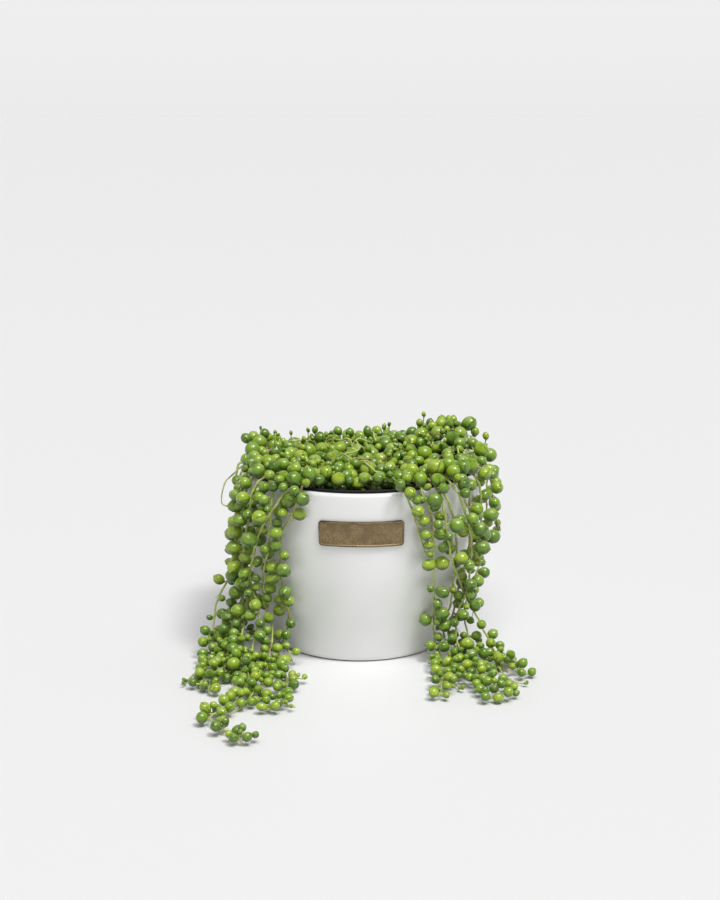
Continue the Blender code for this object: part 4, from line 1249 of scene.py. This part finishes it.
def pearl_material():
    """Waxy green skin: faint lengthwise lines, a dark clear stripe, a dry point, a pale stalk; painted shade
    underneath, and on top a wax bloom with a painted highlight.
    """
    n = Nodes(
        "pearl_skin", Roughness=0.42, Coat_Weight=0.85, Coat_Roughness=0.1, Coat_IOR=1.6,
        IOR=1.4, Specular_IOR_Level=0.2, Subsurface_Weight=0.06, Subsurface_Radius=(0.7, 1.0, 0.2),
        Subsurface_Scale=0.0028, Sheen_Weight=0.03, Sheen_Roughness=0.5, Sheen_Tint=(0.85, 0.95, 0.70, 1.0),
    )
    leaf = n.attribute("leaf", "Vector")
    tint = n.attribute("tint", "Fac")
    x, y, z = n.node("SeparateXYZ", {0: leaf})
    where = n.vector("ADD", leaf, n.math("MULTIPLY", tint, 37.0))
    mottle = n.noise(where, 1.6, 3.0)
    skin = n.ramp(tint, SKIN_TINTS)
    skin = n.mix(n.spread(mottle, 0.35, 0.75, 0.0, 0.35), skin, (0.045, 0.130, 0.008))
    up = n.node("SeparateXYZ", {0: n.facing()})[2]
    # Painted shade: leaves are mixed toward a deep green where they face down
    skin = n.mix(n.spread(up, 0.35, -0.7, 0.0, 0.85), skin, (0.014, 0.048, 0.001))
    angle = n.math("ARCTAN2", y, x)
    wavy = n.math("ADD", n.math("MULTIPLY", angle, 15.0), n.math("MULTIPLY", mottle, 5.0))
    lines = n.math("POWER", n.math("ABSOLUTE", n.math("SINE", wavy)), 6.0)
    body = n.spread(n.math("ABSOLUTE", z), 0.6, 0.97, 1.0, 0.0)
    lines = n.math("MULTIPLY", lines, body)
    skin = n.mix(n.math("MULTIPLY", lines, 0.34), skin, (0.33, 0.48, 0.08))
    across = n.spread(n.math("ABSOLUTE", y), 0.05, 0.17, 1.0, 0.0)
    window = n.math("MULTIPLY", across, n.spread(x, 0.15, 0.4))
    skin = n.mix(n.math("MULTIPLY", window, 0.6), skin, (0.020, 0.075, 0.005))
    skin = n.mix(n.spread(z, -0.75, -1.0, 0.0, 0.6), skin, (0.24, 0.33, 0.06))
    skin = n.mix(n.spread(z, 0.97, 1.1), skin, (0.23, 0.17, 0.06))
    # Wax bloom and painted highlight: where leaves face up they are mixed toward a pale whitish green, more
    # on some leaves than others
    patchy = n.math("ADD", up, n.math("MULTIPLY", n.noise(where, 2.6, 4.0), 0.9))
    bloom_and_highlight_amount = n.spread(n.math("FRACT", n.math("MULTIPLY", tint, 7.3)), 0.0, 1.0, 0.22, 0.62)
    bloom_and_painted_highlight = n.math("MULTIPLY", n.spread(patchy, 0.55, 1.5), bloom_and_highlight_amount)
    skin = n.mix(n.math("MULTIPLY", bloom_and_painted_highlight, body), skin, (0.46, 0.57, 0.16))
    stalk = n.mix(n.noise(n.place(), 300.0), (0.30, 0.40, 0.07), (0.46, 0.53, 0.15))
    skin = n.mix(n.spread(z, -1.0, -1.06), skin, stalk)
    fine = n.noise(where, 14.0, 3.0)
    relief = n.math("ADD", n.math("MULTIPLY", lines, -0.5), n.math("MULTIPLY", fine, 0.35))
    return n.surface(skin, Roughness=n.spread(mottle, 0.3, 0.7, 0.34, 0.48), Normal=n.bump(relief, 0.09, 0.7))


def stem_material():
    """Pale green stems that brown in patches and at their knots."""
    n = Nodes("string_stem", Roughness=0.5)
    where = n.place()
    patch = n.noise(where, 95.0, 3.0)
    dry_whole = n.spread(n.attribute("tint", "Fac"), 0.9, 1.0)
    dry = n.math("ADD", n.spread(patch, 0.57, 0.7), dry_whole, clamp=True)
    green = n.mix(n.noise(where, 420.0), (0.34, 0.45, 0.08), (0.56, 0.62, 0.20))
    straw = n.mix(patch, (0.16, 0.095, 0.040), (0.42, 0.30, 0.15))
    drawn_out = n.vector("MULTIPLY", where, (1, 1, 0.35))
    return n.surface(n.mix(dry, green, straw), Normal=n.bump(n.noise(drawn_out, 1500.0, 3.0), 0.12, 0.8))


def glaze_material():
    """White satin glaze: a soft cloudiness and a very slight orange peel."""
    n = Nodes("white_glaze", Roughness=0.34, Coat_Weight=0.35, Coat_Roughness=0.18)
    where = n.place()
    cloud = n.spread(n.noise(where, 28.0, 3.0), 0.3, 0.7)
    rough = n.spread(n.noise(where, 60.0, 4.0), 0.3, 0.7, 0.29, 0.42)
    broad = n.bump(n.noise(where, 36.0), 0.5, 0.35)
    peel = n.bump(n.noise(where, 420.0, 3.0), 0.05, 0.5, Normal=broad)
    return n.surface(n.mix(cloud, (0.80, 0.80, 0.79), (0.845, 0.845, 0.84)), Roughness=rough, Normal=peel)


def clay_material():
    """Bare fired clay at the foot."""
    n = Nodes("bare_clay", Roughness=0.85)
    grain = n.noise(n.place(), 900.0, 4.0)
    return n.surface(n.mix(grain, (0.30, 0.21, 0.14), (0.46, 0.35, 0.25)), Normal=n.bump(grain, 0.2, 0.7))


def brass_material():
    """Aged brass: dark in the low field's pits, rubbed bright on the raised parts."""
    n = Nodes("aged_brass", Roughness=0.42, Metallic=1.0)
    where = n.place()
    raised = n.attribute("raised", "Fac")
    edge = n.attribute("edge", "Fac")
    pits = n.cells(where, 1500.0)
    patch = n.noise(where, 160.0, 4.0)
    field = n.mix(n.spread(pits, 0.15, 0.6), (0.150, 0.105, 0.055), (0.31, 0.23, 0.125))
    field = n.mix(n.spread(patch, 0.35, 0.7, 0.0, 0.7), field, (0.20, 0.15, 0.085))
    border = n.mix(n.spread(patch, 0.35, 0.65), (0.17, 0.125, 0.07), (0.31, 0.235, 0.135))
    colour = n.mix(n.math("MULTIPLY", edge, 0.85), n.mix(raised, field, border), (0.030, 0.018, 0.010))
    return n.surface(colour, Roughness=n.spread(patch, 0.3, 0.7, 0.34, 0.56), Normal=n.bump(pits, 0.12, 0.8))


def plastic_material():
    """Black moulded plastic with fine scuffs."""
    n = Nodes("black_plastic", Roughness=0.55, Specular_IOR_Level=0.3)
    where = n.place()
    scuff = n.noise(n.vector("MULTIPLY", where, (1, 1, 6)), 220.0, 4.0)
    colour = n.mix(n.spread(scuff, 0.45, 0.75), (0.006, 0.006, 0.007), (0.020, 0.020, 0.022))
    rough = n.spread(scuff, 0.35, 0.7, 0.5, 0.72)
    return n.surface(colour, Roughness=rough, Normal=n.bump(n.noise(where, 1400.0), 0.04, 0.5))


def soil_material():
    """Dark moist potting soil, its grains tinted one by one."""
    n = Nodes("potting_soil", Roughness=0.95)
    tint = n.attribute("tint", "Fac")
    crumb = n.noise(n.place(), 600.0, 5.0, 0.65)
    dark = n.mix(crumb, (0.008, 0.005, 0.003), (0.045, 0.028, 0.016))
    light = n.mix(n.spread(tint, 0.93, 0.95), (0.085, 0.050, 0.026), (0.46, 0.43, 0.38))
    return n.surface(n.mix(n.spread(tint, 0.62, 0.9), dark, light), Normal=n.bump(crumb, 0.8))


def floor_material():
    """Plain pale surface."""
    return Nodes("pale_floor", Roughness=0.6).surface(FLOOR_COLOUR)


# Pot, liner, soil and plate

def pot_wave(turn, z):
    """How far the hand-finished wall leaves a true round, in millimetres."""
    fade = min(1.0, z / 12)
    return fade * (0.26 * math.sin(2 * turn + 0.7 + z * 0.02) + 0.15 * math.sin(5 * turn - 1.1 + z * 0.05))


def turned(name, profile, segments, materials, wave=None, look=None):
    """A solid turned about Z from a profile that runs in over the axis, up, and down its outer side."""
    rings, vertices, faces, looks = [], [], [], []
    for radius, z in profile:
        if radius < 1e-6:
            rings.append([len(vertices)])
            vertices.append((0.0, 0.0, z))
            continue
        rings.append(list(range(len(vertices), len(vertices) + segments)))
        for s in range(segments):
            turn = 2 * math.pi * s / segments
            out = radius + (wave(turn, z) if wave else 0.0)
            vertices.append((out * math.cos(turn), out * math.sin(turn), z))
    for k, (low, high) in enumerate(zip(rings[:-1], rings[1:])):
        for s in range(segments):
            t = (s + 1) % segments
            if len(low) == 1:
                faces.append((low[0], high[s], high[t]))
            elif len(high) == 1:
                faces.append((low[s], high[0], low[t]))
            else:
                faces.append((low[s], high[s], high[t], low[t]))
            looks.append(look(profile[k], profile[k + 1]) if look else 0)
    return to_object(name, vertices, faces, materials, looks)


def round_corner(centre, radius, start, end, count):
    """Points of an arc in the profile's plane, angles in degrees."""
    out = []
    for a in np.linspace(math.radians(start), math.radians(end), count):
        out.append((centre[0] + radius * math.cos(a), centre[1] + radius * math.sin(a)))
    return out


def build_pot(glaze, clay):
    """The glazed pot with a soft round lip and a bare foot."""
    inner = [(0.0, POT_FLOOR), (40.0, POT_FLOOR)]
    foot_inner = float(wall_radius(POT_FLOOR)) - POT_WALL
    inner += round_corner((foot_inner - 2, POT_FLOOR + 2), 2, -90, 0, 5)
    inner += [(float(wall_radius(z)) - POT_WALL, z) for z in np.linspace(9, 94, 22)]
    lip = round_corner((POT_TOP_RADIUS - POT_WALL / 2, POT_HEIGHT - 2), POT_WALL / 2, 180, 0, 13)
    outer = [(float(wall_radius(z)), z) for z in np.linspace(94, 3, 44)]
    foot = [
        (float(wall_radius(POT_FOOT_BEVEL)), POT_FOOT_BEVEL),
        (POT_FOOT_RADIUS - 0.35, 0.55),
        (POT_FOOT_RADIUS - 0.6, 0.45),
        (POT_FOOT_RADIUS - POT_FOOT_BEVEL, 0.0),
        (POT_FOOT_RADIUS - 6.0, 0.0),
        (0.0, 0.0),
    ]

    def look(a, b):
        return 1 if max(a[1], b[1]) < 0.6 else 0

    return turned("cache_pot", inner + lip + outer + foot, POT_SEGMENTS, [glaze, clay], pot_wave, look)


def liner_radius(z):
    """Outer radius of the liner's tapered body."""
    top = LINER_TOP - LINER_RIM_DEPTH
    share = (z - LINER_BOTTOM) / (top - LINER_BOTTOM)
    return LINER_FOOT_RADIUS + (LINER_NECK_RADIUS - LINER_FOOT_RADIUS) * share


def build_liner(plastic):
    """The thin nursery pot, with a rolled rim and holes in its floor."""
    neck_at = LINER_TOP - LINER_RIM_DEPTH
    floor = LINER_BOTTOM + LINER_WALL
    profile = [(0.0, floor), (DRAIN_CIRCLE + 8, floor)]
    profile += [(liner_radius(z) - LINER_WALL, z) for z in (floor, 30, 60, neck_at)]
    profile.append((LINER_RIM_RADIUS - LINER_WALL - 0.5, neck_at + 2 * LINER_WALL))
    profile += round_corner((LINER_RIM_RADIUS - LINER_WALL / 2, LINER_TOP - 0.6), 0.6, 180, 0, 9)
    profile.append((LINER_RIM_RADIUS, neck_at))
    profile += [(liner_radius(z), z) for z in (neck_at, 60, 30)]
    profile += [(LINER_FOOT_RADIUS, LINER_BOTTOM), (DRAIN_CIRCLE + 8, LINER_BOTTOM), (0.0, LINER_BOTTOM)]
    liner = turned("nursery_liner", profile, LINER_SEGMENTS, [plastic])
    group = bpy.data.collections.new("drain_cutters")
    bpy.context.scene.collection.children.link(group)
    for k in range(DRAINS):
        x, y, _ = polar(360 * k / DRAINS, DRAIN_CIRCLE, 0)
        ring = []
        for z in (LINER_BOTTOM - 2, floor + 2):
            for turn in turns(DRAIN_SIDES):
                ring.append((x + DRAIN_RADIUS * math.cos(turn), y + DRAIN_RADIUS * math.sin(turn), z))
        n = DRAIN_SIDES
        faces = [tuple(reversed(range(n))), tuple(range(n, 2 * n))]
        faces += [(s, (s + 1) % n, n + (s + 1) % n, n + s) for s in range(n)]
        cutter = to_object(f"drain_{k}", ring, faces, [])
        bpy.context.scene.collection.objects.unlink(cutter)
        group.objects.link(cutter)
    cut = liner.modifiers.new("drains", "BOOLEAN")
    cut.operation = "DIFFERENCE"
    cut.solver = "EXACT"
    cut.operand_type = "COLLECTION"
    cut.collection = group
    graph = bpy.context.evaluated_depsgraph_get()
    mesh = bpy.data.meshes.new_from_object(liner.evaluated_get(graph))
    liner.modifiers.clear()
    liner.data = mesh
    mesh.shade_smooth()
    mesh.set_sharp_from_angle(angle=math.radians(40))
    for thing in list(group.objects):
        bpy.data.objects.remove(thing)
    bpy.data.collections.remove(group)
    return liner


def build_soil(earth):
    """Crumbly soil filling the liner, with loose crumbs and a few pale grains on top."""
    rng = random.Random(31)
    build = Build()
    floor = LINER_BOTTOM + LINER_WALL + GAP
    edge = liner_radius(SOIL_TOP) - LINER_WALL - GAP
    foot = liner_radius(floor) - LINER_WALL - GAP
    reaches = list(np.linspace(0, edge, SOIL_RINGS + 1))[1:]
    vertices = [(0.0, 0.0, SOIL_TOP)]
    for reach in reaches:
        for s in range(SOIL_SEGMENTS):
            x, y, _ = polar(360 * s / SOIL_SEGMENTS, reach, 0)
            lump = SOIL_LUMP * math.sin(x * 0.35 + 1) * math.cos(y * 0.3) + rng.uniform(-0.5, 0.5)
            vertices.append((x, y, SOIL_TOP + lump - 0.4))
    for s in range(SOIL_SEGMENTS):
        vertices.append(polar(360 * s / SOIL_SEGMENTS, foot, floor))
    vertices.append((0.0, 0.0, floor))
    faces = []
    rings = len(reaches) + 1
    for s in range(SOIL_SEGMENTS):
        t = (s + 1) % SOIL_SEGMENTS
        faces.append((0, 1 + s, 1 + t))
        for r in range(rings - 1):
            a, b = 1 + r * SOIL_SEGMENTS, 1 + (r + 1) * SOIL_SEGMENTS
            faces.append((a + s, b + s, b + t, a + t))
        last = 1 + (rings - 1) * SOIL_SEGMENTS
        faces.append((len(vertices) - 1, last + t, last + s))
    build.add(np.array(vertices), faces, 0, np.zeros((len(vertices), 3)), 0.2)
    for _ in range(SOIL_GRAINS):
        reach = (edge - 2) * math.sqrt(rng.random())
        x, y, _ = polar(rng.uniform(0, 360), reach, 0)
        add_crumb(build, np.array([x, y, SOIL_TOP + rng.uniform(0, 0.5)]), rng.uniform(*GRAIN_SIZES), rng)
    return build.piece("soil_bed", [earth])


def add_crumb(build, centre, size, rng):
    """One irregular crumb."""
    rings, sides = 4, 6
    vertices = []
    squash = [rng.uniform(0.6, 1.2) for _ in range(3)]
    for r in range(1, rings + 1):
        lift = math.pi * r / (rings + 1)
        for turn in turns(sides):
            knock = size * rng.uniform(0.75, 1.15)
            way = (math.sin(lift) * math.cos(turn), math.sin(lift) * math.sin(turn), -math.cos(lift))
            vertices.append([centre[k] + way[k] * knock * squash[k] for k in range(3)])
    for end in (-size, size):
        vertices.append([centre[0], centre[1], centre[2] + end * squash[2]])
    build.add(np.array(vertices), lattice_faces(rings, sides), 0, np.zeros((len(vertices), 3)), rng.random())


def plate_inset(x, z):
    """Distance of a point of the plate from its outline."""
    half, tall = PLATE_WIDTH / 2, PLATE_HEIGHT / 2
    across, up = half - abs(x), tall - abs(z)
    if across < PLATE_CORNER and up < PLATE_CORNER:
        return PLATE_CORNER - math.hypot(PLATE_CORNER - across, PLATE_CORNER - up)
    return min(across, up)


def build_plate(brass):
    """The curved plate: rounded edge, narrow raised border and a hammered low field."""
    rng = random.Random(5)
    half, tall = PLATE_WIDTH / 2, PLATE_HEIGHT / 2
    front, back, raised, edges = [], [], [], []
    for j in range(PLATE_ROWS + 1):
        v = math.sin((j / PLATE_ROWS - 0.5) * math.pi * 0.92) / math.sin(0.46 * math.pi)
        z = tall * v
        corner = max(abs(z) - (tall - PLATE_CORNER), 0)
        wide = half - PLATE_CORNER + math.sqrt(max(PLATE_CORNER**2 - corner**2, 0))
        for i in range(PLATE_COLUMNS + 1):
            u = math.sin((i / PLATE_COLUMNS - 0.5) * math.pi * 0.9) / math.sin(0.45 * math.pi)
            x = wide * u
            inset = max(plate_inset(x, z), 0)
            edge = 1 - max(0, 1 - inset / PLATE_EDGE) ** 2
            rim = min(max((inset - PLATE_BORDER) / PLATE_SLOPE, 0), 1)
            height = PLATE_THICKNESS * (0.45 + 0.55 * edge) - PLATE_FIELD * rim * rim * (3 - 2 * rim)
            height += rng.uniform(-PLATE_HAMMER, PLATE_HAMMER) * (rim + 0.15)
            wall = float(wall_radius(z + PLATE_MIDDLE))
            turn = (x + PLATE_SHIFT) / POT_TOP_RADIUS - math.pi / 2
            wall += pot_wave(turn, z + PLATE_MIDDLE)
            for rows, out in ((front, PLATE_LIFT + height), (back, PLATE_LIFT)):
                radius = wall + out
                rows.append((radius * math.cos(turn), radius * math.sin(turn), z + PLATE_MIDDLE))
            raised.append(1 - rim)
            edges.append(1 - min(inset / PLATE_OUTLINE, 1))
    count = len(front)
    faces = []
    line = PLATE_COLUMNS + 1
    for j in range(PLATE_ROWS):
        for i in range(PLATE_COLUMNS):
            a = j * line + i
            faces.append((a, a + 1, a + 1 + line, a + line))
            faces.append((count + a, count + a + line, count + a + 1 + line, count + a + 1))
    for i in range(PLATE_COLUMNS):
        top = PLATE_ROWS * line + i
        faces.append((i, count + i, count + i + 1, i + 1))
        faces.append((top, top + 1, count + top + 1, count + top))
    for j in range(PLATE_ROWS):
        a, b = j * line, j * line + PLATE_COLUMNS
        faces.append((a, a + line, count + a + line, count + a))
        faces.append((b, count + b, count + b + line, b + line))
    plate = to_object("front_plate", front + back, faces, [brass])
    for name, values in (("raised", raised), ("edge", edges)):
        keep_values(plate, name, values + [1.0] * count)
    plate.data.set_sharp_from_angle(angle=math.radians(50))
    return plate


# Scene

def set_stage():
    """Camera, lights, world and floor."""
    scene = bpy.context.scene
    lens = bpy.data.cameras.new("photo_view")
    lens.sensor_fit = "VERTICAL"
    lens.sensor_height = SENSOR_HEIGHT
    lens.lens = LENS
    camera = bpy.data.objects.new("photo_view", lens)
    scene.collection.objects.link(camera)
    camera.location = CAMERA_PLACE
    camera.rotation_euler = (math.radians(90 - CAMERA_DOWN), 0, 0)
    scene.camera = camera
    scene.view_settings.view_transform = "Standard"

    world = bpy.data.worlds.new("studio")
    world.use_nodes = True
    tree = world.node_tree
    split = tree.nodes.new("ShaderNodeSeparateXYZ")
    tree.links.new(tree.nodes.new("ShaderNodeTexCoord").outputs["Generated"], split.inputs[0])
    ramp = tree.nodes.new("ShaderNodeValToRGB")
    tree.links.new(split.outputs[2], ramp.inputs[0])
    set_stops(ramp.color_ramp, [(place, (tone,) * 3) for place, tone in SKY])
    tree.links.new(ramp.outputs[0], tree.nodes["Background"].inputs["Color"])
    scene.world = world

    for name, (power, width, height, azimuth) in LAMPS.items():
        lamp = bpy.data.lights.new(name, "SUN")
        lamp.energy = power
        lamp.angle = math.radians(width)
        thing = bpy.data.objects.new(name, lamp)
        scene.collection.objects.link(thing)
        thing.rotation_euler = (0, math.radians(90 - height), math.radians(azimuth))

    corners = [(x * FLOOR_HALF, y * FLOOR_HALF, 0) for x, y in ((-1, -1), (1, -1), (1, 1), (-1, 1))]
    floor = to_object("floor", corners, [(0, 1, 2, 3)], [floor_material()], flat=True)


def carry(piece, node):
    """Ride on the one body and stand for the node, which is hidden."""
    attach(piece, "root")
    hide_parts(node)


def pearl_sides(radius):
    """How many sides a pearl of that size gets."""
    if radius > 3.6:
        return 20
    return 16 if radius > 2.2 else 12


def add_pearls(build, pearls, rng):
    for centre, radius, root in pearls:
        add_pearl(build, centre, radius, root, rng, pearl_sides(radius))


def build_strand(name, index, path, pearls, crowd, looks):
    """One string: its stem, the pearls given and more, side shoots, air roots and runners."""
    rng = random.Random(500 + index)
    build = Build()
    add_stem(build, path, rng)
    pearls += fill_string(path, index, crowd, rng, pearl_size, SPARSE.get(name))
    for at in range(len(path) // 3, len(path) - 3, SHOOT_EVERY):
        if path[at][2] < FLOOR_HEIGHT and rng.random() < SHOOT_CHANCE:
            shoot = side_shoot(path, at, rng, rng.uniform(*SHOOT_LENGTH))
            if shoot is not None:
                add_stem(build, shoot, rng, SHOOT_THICK, 6)
                pearls += fill_string(shoot, index, crowd, rng, shoot_size)
    add_pearls(build, pearls, rng)
    for at in range(len(path) // 4, len(path) - 2, AIR_ROOT_EVERY):
        if rng.random() < AIR_ROOT_CHANCE:
            add_air_root(build, path[at], unit(path[at] * (1, 1, 0)), rng)
    for owner, points in RUNNERS:
        if owner == name:
            add_runner(build, points, rng)
    carry(build.piece(name + "_strand", looks), name)


def build_mat_stems(creepers, rng, looks):
    """What grows between the mat's pearls: stems, roots, dry scraps, young tips and single leaves."""
    build = Build()
    for path in creepers:
        add_stem(build, path, rng, CREEPER_THICK, 6)
        if rng.random() < CREEPER_ROOT_CHANCE:
            add_air_root(build, path[len(path) // 2], np.array([0.0, 0.0, 1.0]), rng)
    for k in range(MAT_ROOTS):
        x, y, _ = polar(360 * k / MAT_ROOTS + MAT_ROOT_TURN, MAT_ROOT_CIRCLE, 0)
        points = [(x, y, SOIL_TOP - HOLE_DEPTH), (x + 1, y, SOIL_TOP + 2), (x, y + 2, SOIL_TOP + 12)]
        add_stem(build, smooth_curve(points, ROUTE_STEP), rng, ROOT_THICK, 7)
    for _ in range(LOOSE_STEMS):
        path = loose_stem(rng)
        if path is not None:
            add_stem(build, path, rng, LOOSE_THICK, 6)
    for _ in range(DRY_BITS):
        azimuth, reach = rng.uniform(0, 360), DRY_REACH * math.sqrt(rng.random())
        x, y, _ = polar(azimuth, reach, 0)
        add_dry_bit(build, np.array([x, y, mat_top(x, y) - rng.uniform(1.5, 4.0)]), rng)
    for _ in range(SPROUTS):
        azimuth, reach = rng.uniform(0, 360), rng.uniform(*SPROUT_REACH)
        x, y, _ = polar(azimuth, reach, 0)
        add_sprout(build, np.array([x, y, mat_top(x, y) - 5]), rng, rng.uniform(*SPROUT_HEIGHT))
    for x, y, z, radius in SPRIGS:
        add_sprig(build, (x, y, z), radius, rng)
    carry(build.piece("mat_stems", looks), "pearl_mat")


def build_plant():
    """The mat and the strings, from the same routes and solid pearls as the part."""
    looks = [pearl_material(), stem_material()]
    routes = spread_apart([string_route(*row) for row in STRINGS.values()])
    room = Room(routes)
    solid = [string_pearls(path, i, room) for i, path in enumerate(routes)]
    mat_owner = len(routes)
    solid_mat = [(*sunk(centre, radius), root) for centre, radius, root in mat_pearls(room, mat_owner)]

    crowd = Crowd()
    for i, path in enumerate(routes):
        crowd.add(path, CROWD_STEM, i, stem=True)
    for i, pearls in enumerate(solid + [solid_mat]):
        share = MAT_ROUND_SHARE if i == mat_owner else ROUND_SHARE
        for centre, radius, _ in pearls:
            crowd.add(centre, radius * share, i)
    for x, y, z, radius in SPRIGS:
        crowd.add((x, y, z), radius, mat_owner)
    rng = random.Random(2024)
    creepers = [c for c in (creeping_stem(rng) for _ in range(CREEPERS)) if c is not None]
    for path in creepers:
        crowd.add(path, CROWD_STEM, mat_owner, stem=True)
    at_rim = place_rim_pearls(crowd)

    for i, (name, path) in enumerate(zip(STRINGS, routes)):
        pearls = [(c, r * ROUND_SHARE, root) for c, r, root in solid[i]] + at_rim.get(i, [])
        build_strand(name, i, path, pearls, crowd, looks)

    pearls = at_rim.get(mat_owner, [])
    for centre, radius, root in solid_mat:
        pearls.append((centre, radius * MAT_ROUND_SHARE, crowd.nearest_stem(centre)[0]))
    pearls += fill_mat(crowd, mat_owner, rng)
    for part, pick in (("front", lambda y: y < 0), ("back", lambda y: y >= 0)):
        build = Build()
        add_pearls(build, [p for p in pearls if pick(p[0][1])], random.Random(900 + len(part)))
        carry(build.piece("mat_pearls_" + part, looks), "pearl_mat")
    build_mat_stems(creepers, rng, looks)


set_stage()
carry(build_pot(glaze_material(), clay_material()), "ceramic_pot")
carry(build_liner(plastic_material()), "nursery_pot")
carry(build_soil(soil_material()), "soil")
carry(build_plate(brass_material()), "brass_plate")
build_plant()
